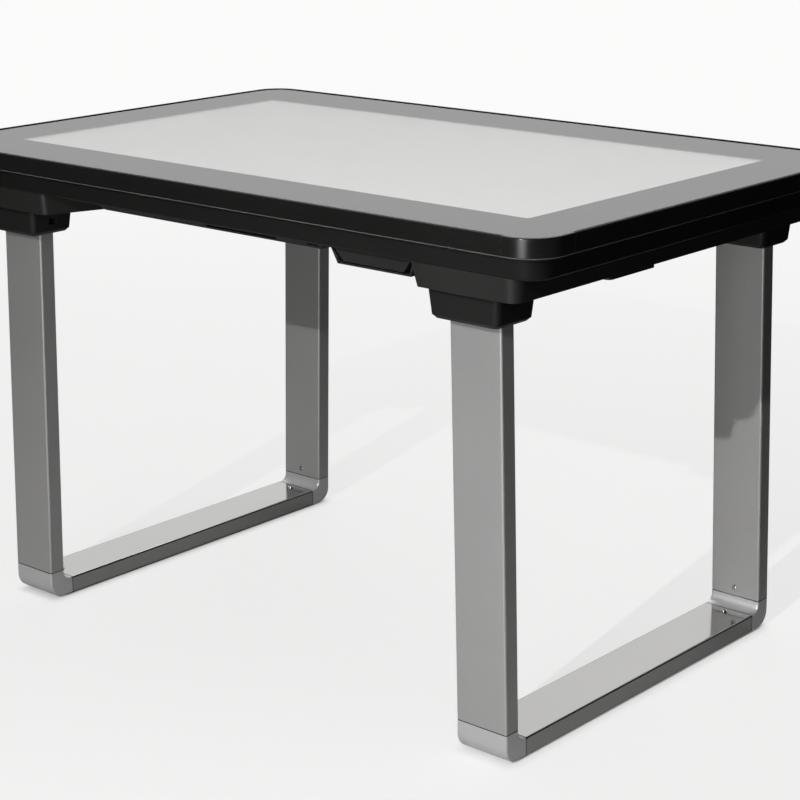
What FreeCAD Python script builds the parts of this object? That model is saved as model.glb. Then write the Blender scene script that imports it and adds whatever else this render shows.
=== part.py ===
import FreeCAD, Part
import math
import os
import re
import Sketcher

# Games table: a black framed touch-screen top on two U-shaped loops of flat metal tube.
# Millimetres. X runs along the long side, the front faces -Y, Z is up.
# The origin is on the floor, under the middle of the table.

# Driving sizes, by section, each with its meaning
SIZES = {
    # Top frame and cover glass
    "table_length": (843.0, "frame, end to end"),
    "table_width": (553.0, "frame, front to rear"),
    "table_height": (516.5, "floor to the top of the frame"),
    "rail_height": (19.0, "visible height of the frame rails"),
    "rail_wall": (4.0, "rail wall, which shows as a lip beside the glass"),
    "ledge_width": (20.0, "ledge under the edge of the glass"),
    "ledge_thickness": (4.0, "thickness of that ledge"),
    "frame_corner_radius": (34.0, "plan radius of the frame corners"),
    "cap_run_long": (40.0, "corner cap, from the table's end to the seam on the long side"),
    "cap_run_short": (52.0, "corner cap, from the table's front to the seam on the short side"),
    "seam_gap": (0.3, "gap between a rail and a corner cap"),
    "rail_edge_round": (1.5, "rounding of the outer rail edges"),
    "glass_thickness": (4.0, "cover glass"),
    "glass_gap": (0.8, "gap round the cover glass"),
    "glass_drop": (0.8, "glass below the top of the frame"),
    "glass_chamfer": (0.5, "chamfer of the glass edge"),
    "frame_screw_inset": (18.0, "frame screws, from the outer face of a rail"),
    "cap_screw_inset": (23.0, "frame screws in the corner caps, from both outer faces"),
    "rail_screw_long": (300.0, "outer frame screws of a long rail, from the middle"),
    "rail_screw_short": (150.0, "frame screws of a short rail, from the middle"),
    # Display stack under the glass
    "border_side": (72.3, "frame's end to the lit area of the display"),
    "border_front": (80.05, "frame's front to the lit area of the display"),
    "panel_border": (8.0, "display panel beyond its lit area"),
    "panel_thickness": (2.0, "display panel"),
    "gasket_thickness": (1.5, "foam frame between glass and panel"),
    "gasket_margin": (1.5, "foam frame, back from the lit area"),
    "diffuser_thickness": (2.0, "diffuser plate"),
    "tray_depth": (11.0, "backlight tray"),
    "tray_wall": (1.2, "sheet of the backlight tray"),
    # Lower housing
    "housing_drop": (21.0, "housing below the rails"),
    "housing_inset_top": (6.5, "housing wall inside the frame, at its top"),
    "housing_inset_bottom": (12.0, "housing wall inside the frame, at its underside"),
    "housing_wall": (3.0, "side wall of the housing"),
    "housing_floor": (2.5, "floor of the housing"),
    "housing_chamfer": (1.4, "chamfer of the lower housing edge"),
    "boss_radius": (4.0, "screw bosses of the housing"),
    "stand_radius": (6.0, "stands under the backlight tray"),
    "stand_inset": (16.0, "tray stands, from the edges of the tray"),
    "board_lift": (5.0, "circuit boards above the housing floor"),
    "board_post_radius": (3.0, "posts under the circuit boards"),
    "board_post_inset": (6.0, "board posts, from the edges of a board"),
    "board_thickness": (1.6, "circuit boards"),
    # Belly under the front of the housing
    "belly_start": (-150.0, "left end of the belly, from the middle of the front"),
    "belly_gap": (1.5, "belly to the port hood"),
    "belly_depth": (44.0, "belly, front to rear"),
    "belly_drop": (5.5, "belly below the housing"),
    "belly_draft": (5.5, "sideways run of the belly's sloping sides"),
    # Slots at the front edge of the housing
    "sound_slot_start": (6.0, "sound slot, from the middle of the front"),
    "sound_slot_length": (95.0, "sound slot"),
    "slot_height": (2.4, "slots in the front edge"),
    "slot_depth": (24.0, "slots, measured from the front face of the frame"),
    "light_slot_start": (141.0, "light slot, from the middle of the front"),
    "light_slot_length": (14.0, "light slot"),
    "window_clearance": (0.2, "lens in the light slot, all round"),
    "window_thickness": (3.0, "lens in the light slot"),
    "window_recess": (1.0, "lens behind the slope of the belly"),
    # Keys under the front edge
    "key_line": (38.0, "row of keys, from the front of the frame"),
    "key_first": (-64.0, "power key, from the middle"),
    "key_pitch": (24.0, "keys, centre to centre"),
    "key_radius": (6.0, "keys"),
    "key_proud": (1.8, "keys below the belly"),
    "key_travel": (1.2, "stroke of a key"),
    "key_clearance": (0.3, "key in its hole, all round"),
    "key_flange": (1.6, "flange of a key beyond its hole"),
    "key_flange_thickness": (1.2, "flange of a key"),
    "key_switch_gap": (0.1, "key to its switch at full stroke"),
    "key_edge_round": (0.6, "rounding of the key edge"),
    "control_margin": (11.0, "switch board beyond the outer keys"),
    "control_width": (26.0, "switch board, front to rear"),
    # Boards and speaker
    "main_board_length": (180.0, "main board along the table"),
    "main_board_width": (120.0, "main board across the table"),
    "main_board_x": (-120.0, "main board, middle along the table"),
    "driver_board_length": (150.0, "driver board along the table"),
    "driver_board_width": (90.0, "driver board across the table"),
    "driver_board_x": (130.0, "driver board, middle along the table"),
    "chip_size": (40.0, "heat spreader on a board"),
    "chip_height": (4.0, "heat spreader on a board"),
    "speaker_depth": (26.0, "speaker box, front to rear"),
    "speaker_height": (14.0, "speaker box"),
    "speaker_gap": (0.4, "speaker box behind the housing wall"),
    "speaker_wall": (2.0, "walls of the speaker box"),
    # Port hood under the front edge
    "hood_gap": (1.4, "port hood to the right beam"),
    "hood_length": (104.0, "port hood at its top"),
    "hood_depth": (52.0, "port hood, front to rear"),
    "hood_front_inset": (22.0, "front of the port hood, from the front of the frame"),
    "hood_height": (17.0, "port hood with its plate"),
    "hood_end_run": (10.0, "sideways run of the plate's sloping ends"),
    "hood_plate_thickness": (1.8, "plate of the port hood"),
    "hood_groove": (1.2, "groove between hood and plate"),
    "hood_wedge": (8.0, "cable notch between hood and plate at the ends"),
    "hood_wall": (2.5, "walls of the port hood"),
    "hood_mouth": (24.0, "cable opening in the rear wall of the hood"),
    "inlet_length": (14.0, "power inlet"),
    "inlet_height": (9.0, "power inlet"),
    "inlet_bore": (3.0, "radius of the inlet's socket"),
    # Beams under the ends of the housing
    "beam_height": (23.0, "beams below the housing"),
    "beam_end_inset": (34.6, "upper outer edge of a beam, from the table's end"),
    "beam_front_inset": (14.5, "upper front edge of a beam, from the front of the frame"),
    "beam_outer_run": (2.0, "sideways run of the outer flank"),
    "beam_front_run": (2.0, "run of the front flank"),
    "beam_corner_top": (12.0, "outer plan corners of a beam, upper edge"),
    "beam_corner_bottom": (11.0, "outer plan corners of a beam, lower edge"),
    "beam_inner_radius": (7.0, "inner plan corners of a beam"),
    "right_beam_width": (118.5, "right beam, upper edge"),
    "right_inner_run": (6.0, "sideways run of the right beam's inner flank"),
    "left_beam_width": (148.0, "left beam at its ends, upper edge"),
    "left_flare": (32.0, "left beam, wider in the middle by this"),
    "left_flare_length": (92.0, "length over which the left beam widens"),
    "beam_pocket_count": (4.0, "hollows in the top of a beam"),
    "beam_pocket_length": (72.0, "hollow along the beam"),
    "beam_pocket_width": (64.0, "hollow across the beam"),
    "beam_pocket_pitch": (82.0, "hollows, centre to centre"),
    "beam_pocket_floor": (4.0, "left under a hollow"),
    "beam_screw_inset": (50.0, "beam screws, from the table's end"),
    "beam_screw_pitch": (150.0, "beam screws, centre to centre"),
    "plate_middle": (-82.0, "plate under a beam, middle along the beam"),
    "plate_length": (74.0, "plate under a beam"),
    "plate_width": (84.0, "plate under a beam, across it"),
    "plate_thickness": (3.5, "plate under a beam"),
    "plate_edge_inset": (1.5, "plate, from the beam's lower outer edge"),
    "plate_corner_radius": (5.0, "corners of that plate"),
    # Leg loops
    "leg_end_inset": (67.4, "outer face of a loop at its foot, from the table's end"),
    "leg_front_inset": (47.7, "outer face of the posts, from the front of the frame"),
    "leg_width": (59.5, "flat tube, wide side"),
    "leg_thickness": (19.0, "flat tube, narrow side"),
    "leg_splay": (9.7, "foot of a post, further out than its top"),
    "leg_wall": (1.8, "wall of the flat tube"),
    "leg_edge_radius": (2.2, "outer edge radius of the flat tube"),
    "tube_inner_radius": (0.6, "inner edge radius of the flat tube"),
    "seam_chamfer": (0.5, "broken edge of tube ends and foot corners, where they meet"),
    "foot_rise": (30.7, "foot corner, from its underside to the post seam"),
    "foot_run": (30.5, "foot corner, from its outer face to the bar seam"),
    "foot_outer_radius": (17.0, "outer bend of the foot corner"),
    "foot_inner_radius": (9.0, "inner bend of the foot corner"),
    "spigot_length": (26.0, "spigot of the foot corner inside a tube"),
    "spigot_clearance": (0.2, "spigot inside its tube, all round"),
    "foot_strip_thickness": (1.5, "strip under a floor bar"),
    "foot_strip_inset": (3.0, "strip, from the sides of the bar"),
    "foot_strip_end": (22.0, "strip, from the ends of the loop"),
    # Leg sockets
    "socket_length": (78.0, "leg socket along the table, lower edge"),
    "socket_width": (53.0, "leg socket across the table, lower edge"),
    "socket_height": (30.8, "leg socket below its beam"),
    "socket_flare": (2.5, "leg socket wider at the top, on each side"),
    "socket_round": (6.0, "vertical edges of the socket"),
    "socket_chamfer": (3.5, "lower edges of the socket"),
    "socket_seat": (27.0, "depth of the post in its socket"),
    "socket_clearance": (0.3, "post in its socket, all round"),
    "latch_width": (10.0, "window of the socket"),
    "latch_height": (7.0, "window of the socket"),
    "latch_rise": (14.0, "window's middle above the socket's underside"),
    # Fasteners
    "screw_rise": (9.3, "foot screws, from the tube's end"),
    "foot_head_radius": (3.3, "foot screw head"),
    "foot_head_height": (2.0, "foot screw head"),
    "foot_shank_radius": (1.6, "foot screw shank"),
    "foot_shank_length": (9.0, "foot screw shank"),
    "hole_clearance": (0.2, "screw holes, beyond the shank"),
    "bolt_offset": (14.2, "socket bolts, from the post's middle"),
    "bolt_head_radius": (3.4, "socket bolt head"),
    "bolt_head_height": (3.6, "socket bolt head"),
    "bolt_shank_radius": (2.0, "socket bolt shank"),
    "bolt_sink": (4.6, "counterbore of a socket bolt"),
    "bolt_grip": (14.0, "socket bolt inside the beam"),
    "frame_head_radius": (2.8, "frame and beam screw head"),
    "frame_head_height": (1.8, "frame and beam screw head"),
    "frame_shank_radius": (1.4, "frame and beam screw shank"),
    "frame_shank_length": (12.0, "frame and beam screw shank"),
}

# Heights and faces that several pieces share
GLASS_UNDER = "(table_height - glass_drop - glass_thickness)"
LEDGE_UNDER = f"({GLASS_UNDER} - ledge_thickness)"
RAIL_UNDER = "(table_height - rail_height)"
HOUSING_UNDER = f"({RAIL_UNDER} - housing_drop)"
HOUSING_FLOOR_TOP = f"({HOUSING_UNDER} + housing_floor)"
BELLY_UNDER = f"({HOUSING_UNDER} - belly_drop)"
BELLY_FLOOR_TOP = f"({BELLY_UNDER} + housing_floor)"
BEAM_UNDER = f"({HOUSING_UNDER} - beam_height)"
SOCKET_UNDER = f"({BEAM_UNDER} - socket_height)"
PANEL_TOP = f"({GLASS_UNDER} - gasket_thickness)"
DIFFUSER_TOP = f"({PANEL_TOP} - panel_thickness)"
TRAY_TOP = f"({DIFFUSER_TOP} - diffuser_thickness)"
TRAY_UNDER = f"({TRAY_TOP} - tray_depth)"
BOARD_UNDER = f"({HOUSING_FLOOR_TOP} + board_lift)"
LEG_SPREAD = "(table_length / 2 - leg_end_inset)"
LEG_REACH = "(table_width / 2 - leg_front_inset)"
POST_X = f"({LEG_SPREAD} - leg_width / 2)"
POST_Y = f"({LEG_REACH} - leg_thickness / 2)"
POST_FOOT = "(foot_strip_thickness + foot_rise)"
POST_LENGTH = f"({SOCKET_UNDER} + socket_seat - {POST_FOOT})"
SCREEN_LENGTH = "(table_length - 2 * border_side)"
SCREEN_WIDTH = "(table_width - 2 * border_front)"
PANEL_LENGTH = f"({SCREEN_LENGTH} + 2 * panel_border)"
PANEL_WIDTH = f"({SCREEN_WIDTH} + 2 * panel_border)"
CONTROL_UNDER = f"({BELLY_FLOOR_TOP} + key_flange_thickness + key_travel + key_switch_gap)"
HOOD_END = "(table_length / 2 - beam_end_inset - right_beam_width - hood_gap)"
HOOD_START = f"({HOOD_END} - hood_length)"

SIDES = {"left": -1, "right": 1}
ENDS = {"front": -1, "rear": 1}
NAME = re.compile(r"\b[a-z][a-z_]+\b")
TOLERANCE = 1e-4

doc = FreeCAD.newDocument("GamesTable")
sheet = doc.addObject("Spreadsheet::Sheet", "Sizes")
for row, (alias, (number, meaning)) in enumerate(SIZES.items(), start=1):
    sheet.set(f"A{row}", alias)
    sheet.set(f"B{row}", str(number))
    sheet.set(f"C{row}", meaning)
    sheet.setAlias(f"B{row}", alias)
doc.recompute()
nodes = []


def value(text):
    """Returns the number that an expression over the sizes gives."""
    return float(sheet.evalExpression(str(text)))


def bind(thing, path, text):
    """Binds a property of an object to an expression over the sizes."""
    thing.setExpression(path, NAME.sub(lambda found: "Sizes." + found.group(0), str(text)))


def new_body(label):
    """Adds a body that is one piece of the table."""
    body = doc.addObject("PartDesign::Body", label)
    body.Label = label
    nodes.append(body)
    return body


def place(body, x, y, z, turned=False):
    """Puts a body at a point, turned half way round where it faces the other way."""
    if turned:
        body.Placement.Rotation = FreeCAD.Rotation(FreeCAD.Vector(0, 0, 1), 180)
    for axis, text in zip("xyz", (x, y, z)):
        bind(body, f"Placement.Base.{axis}", text)


def new_sketch(body, plane, offset="0"):
    """Adds a sketch on one of the body's own planes, shifted along its normal."""
    sketch = body.newObject("Sketcher::SketchObject", "Sketch")
    support = next(item for item in body.Origin.OriginFeatures if item.Role == plane)
    sketch.AttachmentSupport = [(support, "")]
    sketch.MapMode = "FlatFace"
    bind(sketch, "AttachmentOffset.Base.z", offset)
    return sketch


def pin(sketch, geometry, position, x, y):
    """Ties a point of a sketch to two expressions, measured from the origin."""
    for kind, text in (("DistanceX", x), ("DistanceY", y)):
        index = sketch.addConstraint(Sketcher.Constraint(kind, -1, 1, geometry, position, value(text)))
        bind(sketch, f"Constraints[{index}]", text)


def outline(sketch, corners):
    """Draws a closed outline. A corner is (x, y) or, where it is rounded, (x, y, radius)."""
    count = len(corners)
    points = [FreeCAD.Vector(value(corner[0]), value(corner[1]), 0) for corner in corners]
    starts = []
    finishes = []
    arcs = []
    for index, corner in enumerate(corners):
        here = points[index]
        if len(corner) == 2:
            starts.append(here)
            finishes.append(here)
            arcs.append(None)
            continue
        radius = value(corner[2])
        back = (points[index - 1] - here).normalize()
        ahead = (points[(index + 1) % count] - here).normalize()
        half = back.getAngle(ahead) / 2
        middle = here + (back + ahead).normalize() * (radius / math.sin(half))
        finishes.append(here + back * (radius / math.tan(half)))
        starts.append(here + ahead * (radius / math.tan(half)))
        left_turn = (here - points[index - 1]).cross(ahead).z > 0
        rim = (finishes[-1] - middle, starts[-1] - middle)
        first, last = rim if left_turn else rim[::-1]
        angles = [math.atan2(spoke.y, spoke.x) for spoke in (first, last)]
        circle = Part.Circle(middle, FreeCAD.Vector(0, 0, 1), radius)
        arcs.append((Part.ArcOfCircle(circle, angles[0], angles[1]), left_turn))
    lines = [sketch.addGeometry(Part.LineSegment(starts[index], finishes[(index + 1) % count]))
             for index in range(count)]
    for index, corner in enumerate(corners):
        before = lines[index - 1]
        after = lines[index]
        if arcs[index] is None:
            sketch.addConstraint(Sketcher.Constraint("Coincident", before, 2, after, 1))
            pin(sketch, after, 1, corner[0], corner[1])
            continue
        curve, left_turn = arcs[index]
        arc = sketch.addGeometry(curve)
        mark = sketch.addGeometry(Part.Point(points[index]), True)
        ends = (1, 2) if left_turn else (2, 1)
        sketch.addConstraint(Sketcher.Constraint("Tangent", before, 2, arc, ends[0]))
        sketch.addConstraint(Sketcher.Constraint("Tangent", after, 1, arc, ends[1]))
        sketch.addConstraint(Sketcher.Constraint("PointOnObject", mark, 1, before))
        sketch.addConstraint(Sketcher.Constraint("PointOnObject", mark, 1, after))
        rounding = sketch.addConstraint(Sketcher.Constraint("Radius", arc, value(corner[2])))
        bind(sketch, f"Constraints[{rounding}]", corner[2])
        pin(sketch, mark, 1, corner[0], corner[1])


def box_corners(x_low, x_high, y_low, y_high, radius=None):
    """Returns the four corners of an upright rectangle, rounded where a radius is given."""
    corners = [(x_low, y_low), (x_high, y_low), (x_high, y_high), (x_low, y_high)]
    return [corner + (radius,) for corner in corners] if radius else corners


def centred(length, width, radius=None, x="0", y="0"):
    """Returns the corners of a rectangle about a point."""
    return box_corners(f"{x} - ({length}) / 2", f"{x} + ({length}) / 2",
                       f"{y} - ({width}) / 2", f"{y} + ({width}) / 2", radius)


def circle(sketch, x, y, radius):
    """Draws a circle."""
    centre = FreeCAD.Vector(value(x), value(y), 0)
    index = sketch.addGeometry(Part.Circle(centre, FreeCAD.Vector(0, 0, 1), value(radius)))
    pin(sketch, index, 3, x, y)
    rounding = sketch.addConstraint(Sketcher.Constraint("Radius", index, value(radius)))
    bind(sketch, f"Constraints[{rounding}]", radius)


def feature(body, kind, sketch, length, symmetric=False, reverse=False):
    """Adds a pad or a pocket of a sketch."""
    item = body.newObject(kind, kind.split("::")[1])
    item.Profile = sketch
    bind(item, "Length", length)
    item.Midplane = symmetric
    item.Reversed = reverse
    return item


def pad(body, plane, offset, length, *outlines, symmetric=False, reverse=False):
    """Pads closed outlines from a plane of the body."""
    sketch = new_sketch(body, plane, offset)
    for corners in outlines:
        outline(sketch, corners)
    return feature(body, "PartDesign::Pad", sketch, length, symmetric, reverse)


def pocket(body, plane, offset, length, *outlines, symmetric=False, reverse=False):
    """Cuts closed outlines into the body."""
    sketch = new_sketch(body, plane, offset)
    for corners in outlines:
        outline(sketch, corners)
    return feature(body, "PartDesign::Pocket", sketch, length, symmetric, reverse)


def round_feature(body, kind, plane, offset, length, circles, reverse=False):
    """Pads or cuts round posts and holes, each given as (x, y, radius)."""
    sketch = new_sketch(body, plane, offset)
    for x, y, radius in circles:
        circle(sketch, x, y, radius)
    return feature(body, kind, sketch, length, reverse=reverse)


def loft(body, kind, *sections):
    """Joins level outlines, each given as (height, corners), with straight flanks."""
    sketches = []
    for height, corners in sections:
        sketch = new_sketch(body, "XY_Plane", height)
        outline(sketch, corners)
        sketches.append(sketch)
    item = body.newObject(kind, "Loft")
    item.Profile = sketches[0]
    item.Sections = sketches[1:]
    item.Ruled = True
    return item


def soften(body, kind, base, size, wanted):
    """Rounds or chamfers the edges of a feature for which wanted(edge) is true."""
    doc.recompute()
    names = [f"Edge{index}" for index, edge in enumerate(base.Shape.Edges, start=1) if wanted(edge)]
    item = body.newObject(kind, "Softened")
    item.Base = (base, names)
    bind(item, "Radius" if kind.endswith("Fillet") else "Size", size)
    return item


def edge_points(edge):
    """Returns three points of an edge."""
    first, last = edge.ParameterRange
    return [edge.valueAt(first + (last - first) * share) for share in (0.0, 0.5, 1.0)]


def at_height(edge, height):
    """Tells whether an edge lies level at a height."""
    return all(abs(point.z - height) < TOLERANCE for point in edge_points(edge))


def frame_outline(inset):
    """Returns the table's plan outline, moved inwards."""
    return centred(f"table_length - 2 * ({inset})", f"table_width - 2 * ({inset})",
                   f"frame_corner_radius - ({inset})")


def post_x(level):
    """Returns how far out the middle of a leaning post is at a height."""
    return f"({POST_X} - leg_splay * ({level} - {POST_FOOT}) / {POST_LENGTH})"


SOCKET_X = post_x(f"({SOCKET_UNDER} + socket_seat / 2)")


# Frame rails: an outer wall with a ledge for the glass
def build_rail(name, plane, sign, half, length):
    body = new_body(name)
    outer = f"{sign} * {half}"
    wall = f"{sign} * ({half} - rail_wall)"
    ledge = f"{sign} * ({half} - rail_wall - ledge_width)"
    corners = [
        (outer, RAIL_UNDER, "rail_edge_round"),
        (outer, "table_height", "rail_edge_round"),
        (wall, "table_height"),
        (wall, GLASS_UNDER),
        (ledge, GLASS_UNDER),
        (ledge, LEDGE_UNDER),
        (wall, LEDGE_UNDER),
        (wall, RAIL_UNDER),
    ]
    pad(body, plane, "0", length, corners, symmetric=True)
    for x, y in frame_screw_points(name):
        round_feature(body, "PartDesign::Pocket", "XY_Plane", GLASS_UNDER, "frame_head_height",
                      [(x, y, "frame_head_radius + hole_clearance")])
        round_feature(body, "PartDesign::Pocket", "XY_Plane", GLASS_UNDER, "ledge_thickness",
                      [(x, y, "frame_shank_radius + hole_clearance")])


def frame_screw_points(name):
    """Returns the screw places of a rail or corner cap, as pairs of expressions."""
    side_x = "(table_length / 2 - frame_screw_inset)"
    side_y = "(table_width / 2 - frame_screw_inset)"
    cap_x = "(table_length / 2 - cap_screw_inset)"
    cap_y = "(table_width / 2 - cap_screw_inset)"
    for end, end_sign in ENDS.items():
        if name == f"{end}_rail":
            return [(f"{share} * rail_screw_long", f"{end_sign} * {side_y}") for share in (-1, 0, 1)]
        for side, side_sign in SIDES.items():
            if name == f"corner_cap_{end}_{side}":
                return [(f"{side_sign} * {cap_x}", f"{end_sign} * {cap_y}")]
    side_sign = SIDES[name.split("_")[0]]
    return [(f"{side_sign} * {side_x}", f"{share} * rail_screw_short") for share in (-1, 1)]


RAIL_NAMES = [f"{end}_rail" for end in ENDS] + [f"{side}_rail" for side in SIDES]
CAP_NAMES = [f"corner_cap_{end}_{side}" for end in ENDS for side in SIDES]
for end, end_sign in ENDS.items():
    build_rail(f"{end}_rail", "YZ_Plane", end_sign, "(table_width / 2)",
               "table_length - 2 * (cap_run_long + seam_gap)")
for side, side_sign in SIDES.items():
    build_rail(f"{side}_rail", "XZ_Plane", side_sign, "(table_length / 2)",
               "table_width - 2 * (cap_run_short + seam_gap)")


# Corner caps: the same section, led round the corner
def build_cap(name, x_sign, y_sign):
    body = new_body(name)

    def run(near, far, near_radius, far_radius):
        """Returns a corner strip between two insets from the outer faces."""
        x_seam = f"{x_sign} * (table_length / 2 - cap_run_long)"
        y_seam = f"{y_sign} * (table_width / 2 - cap_run_short)"
        x_near = f"{x_sign} * (table_length / 2 - ({near}))"
        y_near = f"{y_sign} * (table_width / 2 - ({near}))"
        x_far = f"{x_sign} * (table_length / 2 - ({far}))"
        y_far = f"{y_sign} * (table_width / 2 - ({far}))"
        return [(x_seam, y_near), (x_near, y_near, near_radius), (x_near, y_seam),
                (x_far, y_seam), (x_far, y_far, far_radius), (x_seam, y_far)]

    wall = pad(body, "XY_Plane", RAIL_UNDER, "rail_height",
               run("0", "rail_wall", "frame_corner_radius", "frame_corner_radius - rail_wall"))
    half_length = value("table_length / 2")
    half_width = value("table_width / 2")
    radius = value("frame_corner_radius")
    levels = (value("table_height"), value(RAIL_UNDER))

    def on_outer_edge(edge):
        """Tells whether an edge is a level one on the outer face of the cap."""
        if not any(at_height(edge, level) for level in levels):
            return False
        middle = edge_points(edge)[1]
        across = (half_length - abs(middle.x), half_width - abs(middle.y))
        bend = math.hypot(radius - across[0], radius - across[1])
        on_bend = max(across) < radius and abs(bend - radius) < TOLERANCE
        return min(across) < TOLERANCE or on_bend

    soften(body, "PartDesign::Fillet", wall, "rail_edge_round", on_outer_edge)
    pad(body, "XY_Plane", LEDGE_UNDER, "ledge_thickness",
        run("rail_wall", "rail_wall + ledge_width", "frame_corner_radius - rail_wall",
            "frame_corner_radius - rail_wall - ledge_width"))
    for x, y in frame_screw_points(name):
        round_feature(body, "PartDesign::Pocket", "XY_Plane", GLASS_UNDER, "frame_head_height",
                      [(x, y, "frame_head_radius + hole_clearance")])
        round_feature(body, "PartDesign::Pocket", "XY_Plane", GLASS_UNDER, "ledge_thickness",
                      [(x, y, "frame_shank_radius + hole_clearance")])


for end, end_sign in ENDS.items():
    for side, side_sign in SIDES.items():
        build_cap(f"corner_cap_{end}_{side}", side_sign, end_sign)

# Cover glass
glass = new_body("cover_glass")
glass_sheet = pad(glass, "XY_Plane", GLASS_UNDER, "glass_thickness", frame_outline("rail_wall + glass_gap"))
glass_top = value(f"{GLASS_UNDER} + glass_thickness")
soften(glass, "PartDesign::Chamfer", glass_sheet, "glass_chamfer", lambda edge: at_height(edge, glass_top))

# Display stack: foam frame, panel, diffuser and backlight tray
gasket = new_body("panel_gasket")
pad(gasket, "XY_Plane", PANEL_TOP, "gasket_thickness", centred(PANEL_LENGTH, PANEL_WIDTH),
    centred(f"{SCREEN_LENGTH} + 2 * gasket_margin", f"{SCREEN_WIDTH} + 2 * gasket_margin"))
panel = new_body("lcd_panel")
pad(panel, "XY_Plane", DIFFUSER_TOP, "panel_thickness", centred(PANEL_LENGTH, PANEL_WIDTH))
diffuser = new_body("diffuser_plate")
pad(diffuser, "XY_Plane", TRAY_TOP, "diffuser_thickness", centred(PANEL_LENGTH, PANEL_WIDTH))
tray = new_body("backlight_tray")
pad(tray, "XY_Plane", TRAY_UNDER, "tray_depth", centred(PANEL_LENGTH, PANEL_WIDTH))
pocket(tray, "XY_Plane", TRAY_TOP, "tray_depth - tray_wall",
       centred(f"{PANEL_LENGTH} - 2 * tray_wall", f"{PANEL_WIDTH} - 2 * tray_wall"))


# Lower housing: a drafted tray with a belly at the front, bosses, stands and slots
def board_posts(length, width, x):
    """Returns the four posts under a circuit board."""
    reach_x = f"({length} / 2 - board_post_inset)"
    reach_y = f"({width} / 2 - board_post_inset)"
    return [(f"{x} + {x_sign} * {reach_x}", f"{y_sign} * {reach_y}", "board_post_radius")
            for x_sign in (-1, 1) for y_sign in (-1, 1)]


def key_x(index):
    """Returns the place of a key along the table."""
    return f"(key_first + {index} * key_pitch)"


BELLY_FRONT = "(table_width / 2 - housing_inset_bottom - housing_chamfer)"


def belly_outline(inset):
    """Returns the plan of the belly under the front of the housing, moved inwards."""
    return box_corners(f"belly_start + ({inset})", f"{HOOD_START} - belly_gap - ({inset})",
                       f"({inset}) - {BELLY_FRONT}", f"belly_depth - {BELLY_FRONT} - ({inset})")


KEY_Y = "(key_line - table_width / 2)"
KEYS = ["power_button", "volume_down_button", "volume_up_button"]
BEAM_SCREWS = [(f"{sign} * (table_length / 2 - beam_screw_inset)", f"{share} * beam_screw_pitch")
               for sign in SIDES.values() for share in (-1, 0, 1)]
FRAME_SCREWS = [point for name in RAIL_NAMES + CAP_NAMES for point in frame_screw_points(name)]

housing = new_body("lower_housing")
loft(housing, "PartDesign::AdditiveLoft",
     (HOUSING_UNDER, frame_outline("housing_inset_bottom + housing_chamfer")),
     (f"{HOUSING_UNDER} + housing_chamfer", frame_outline("housing_inset_bottom")),
     (LEDGE_UNDER, frame_outline("housing_inset_top")))
loft(housing, "PartDesign::SubtractiveLoft",
     (HOUSING_FLOOR_TOP, frame_outline("housing_inset_bottom + housing_wall")),
     (LEDGE_UNDER, frame_outline("housing_inset_top + housing_wall")))
loft(housing, "PartDesign::AdditiveLoft",
     (BELLY_UNDER, belly_outline("belly_draft")), (HOUSING_UNDER, belly_outline("0")))
loft(housing, "PartDesign::SubtractiveLoft",
     (BELLY_FLOOR_TOP, belly_outline("belly_draft + housing_wall")),
     (HOUSING_FLOOR_TOP, belly_outline("housing_wall")))
round_feature(housing, "PartDesign::Pad", "XY_Plane", HOUSING_FLOOR_TOP, f"{LEDGE_UNDER} - {HOUSING_FLOOR_TOP}",
              [(x, y, "boss_radius") for x, y in FRAME_SCREWS])
round_feature(housing, "PartDesign::Pad", "XY_Plane", HOUSING_FLOOR_TOP, f"{TRAY_UNDER} - {HOUSING_FLOOR_TOP}",
              [(f"{x_share} * ({PANEL_LENGTH} / 2 - stand_inset)",
                f"{y_share} * ({PANEL_WIDTH} / 2 - stand_inset)", "stand_radius")
               for x_share in (-1, 0, 1) for y_share in (-1, 1)])
round_feature(housing, "PartDesign::Pad", "XY_Plane", HOUSING_FLOOR_TOP, "board_lift",
              board_posts("main_board_length", "main_board_width", "main_board_x")
              + board_posts("driver_board_length", "driver_board_width", "driver_board_x"))
CONTROL_LENGTH = f"({len(KEYS) - 1} * key_pitch + 2 * (key_radius + control_margin))"
CONTROL_X = key_x((len(KEYS) - 1) / 2)
control_reach = f"({CONTROL_LENGTH} / 2 - board_post_inset)"
round_feature(housing, "PartDesign::Pad", "XY_Plane", BELLY_FLOOR_TOP, f"{CONTROL_UNDER} - {BELLY_FLOOR_TOP}",
              [(f"{CONTROL_X} + {sign} * {control_reach}", KEY_Y, "board_post_radius") for sign in (-1, 1)])
round_feature(housing, "PartDesign::Pocket", "XY_Plane", LEDGE_UNDER,
              "frame_shank_length - ledge_thickness + frame_head_height + hole_clearance",
              [(x, y, "frame_shank_radius + hole_clearance") for x, y in FRAME_SCREWS])
round_feature(housing, "PartDesign::Pocket", "XY_Plane", HOUSING_FLOOR_TOP, "housing_floor",
              [(x, y, "frame_shank_radius + hole_clearance") for x, y in BEAM_SCREWS])
round_feature(housing, "PartDesign::Pocket", "XY_Plane", BELLY_FLOOR_TOP, "housing_floor",
              [(key_x(index), KEY_Y, "key_radius + key_clearance") for index in range(len(KEYS))])
SLOT_TOP = f"({BELLY_FLOOR_TOP} + slot_height)"
pocket(housing, "XZ_Plane", "table_width / 2", "slot_depth",
       box_corners("sound_slot_start", "sound_slot_start + sound_slot_length", BELLY_FLOOR_TOP, SLOT_TOP),
       box_corners("light_slot_start", "light_slot_start + light_slot_length", BELLY_FLOOR_TOP, SLOT_TOP))

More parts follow.
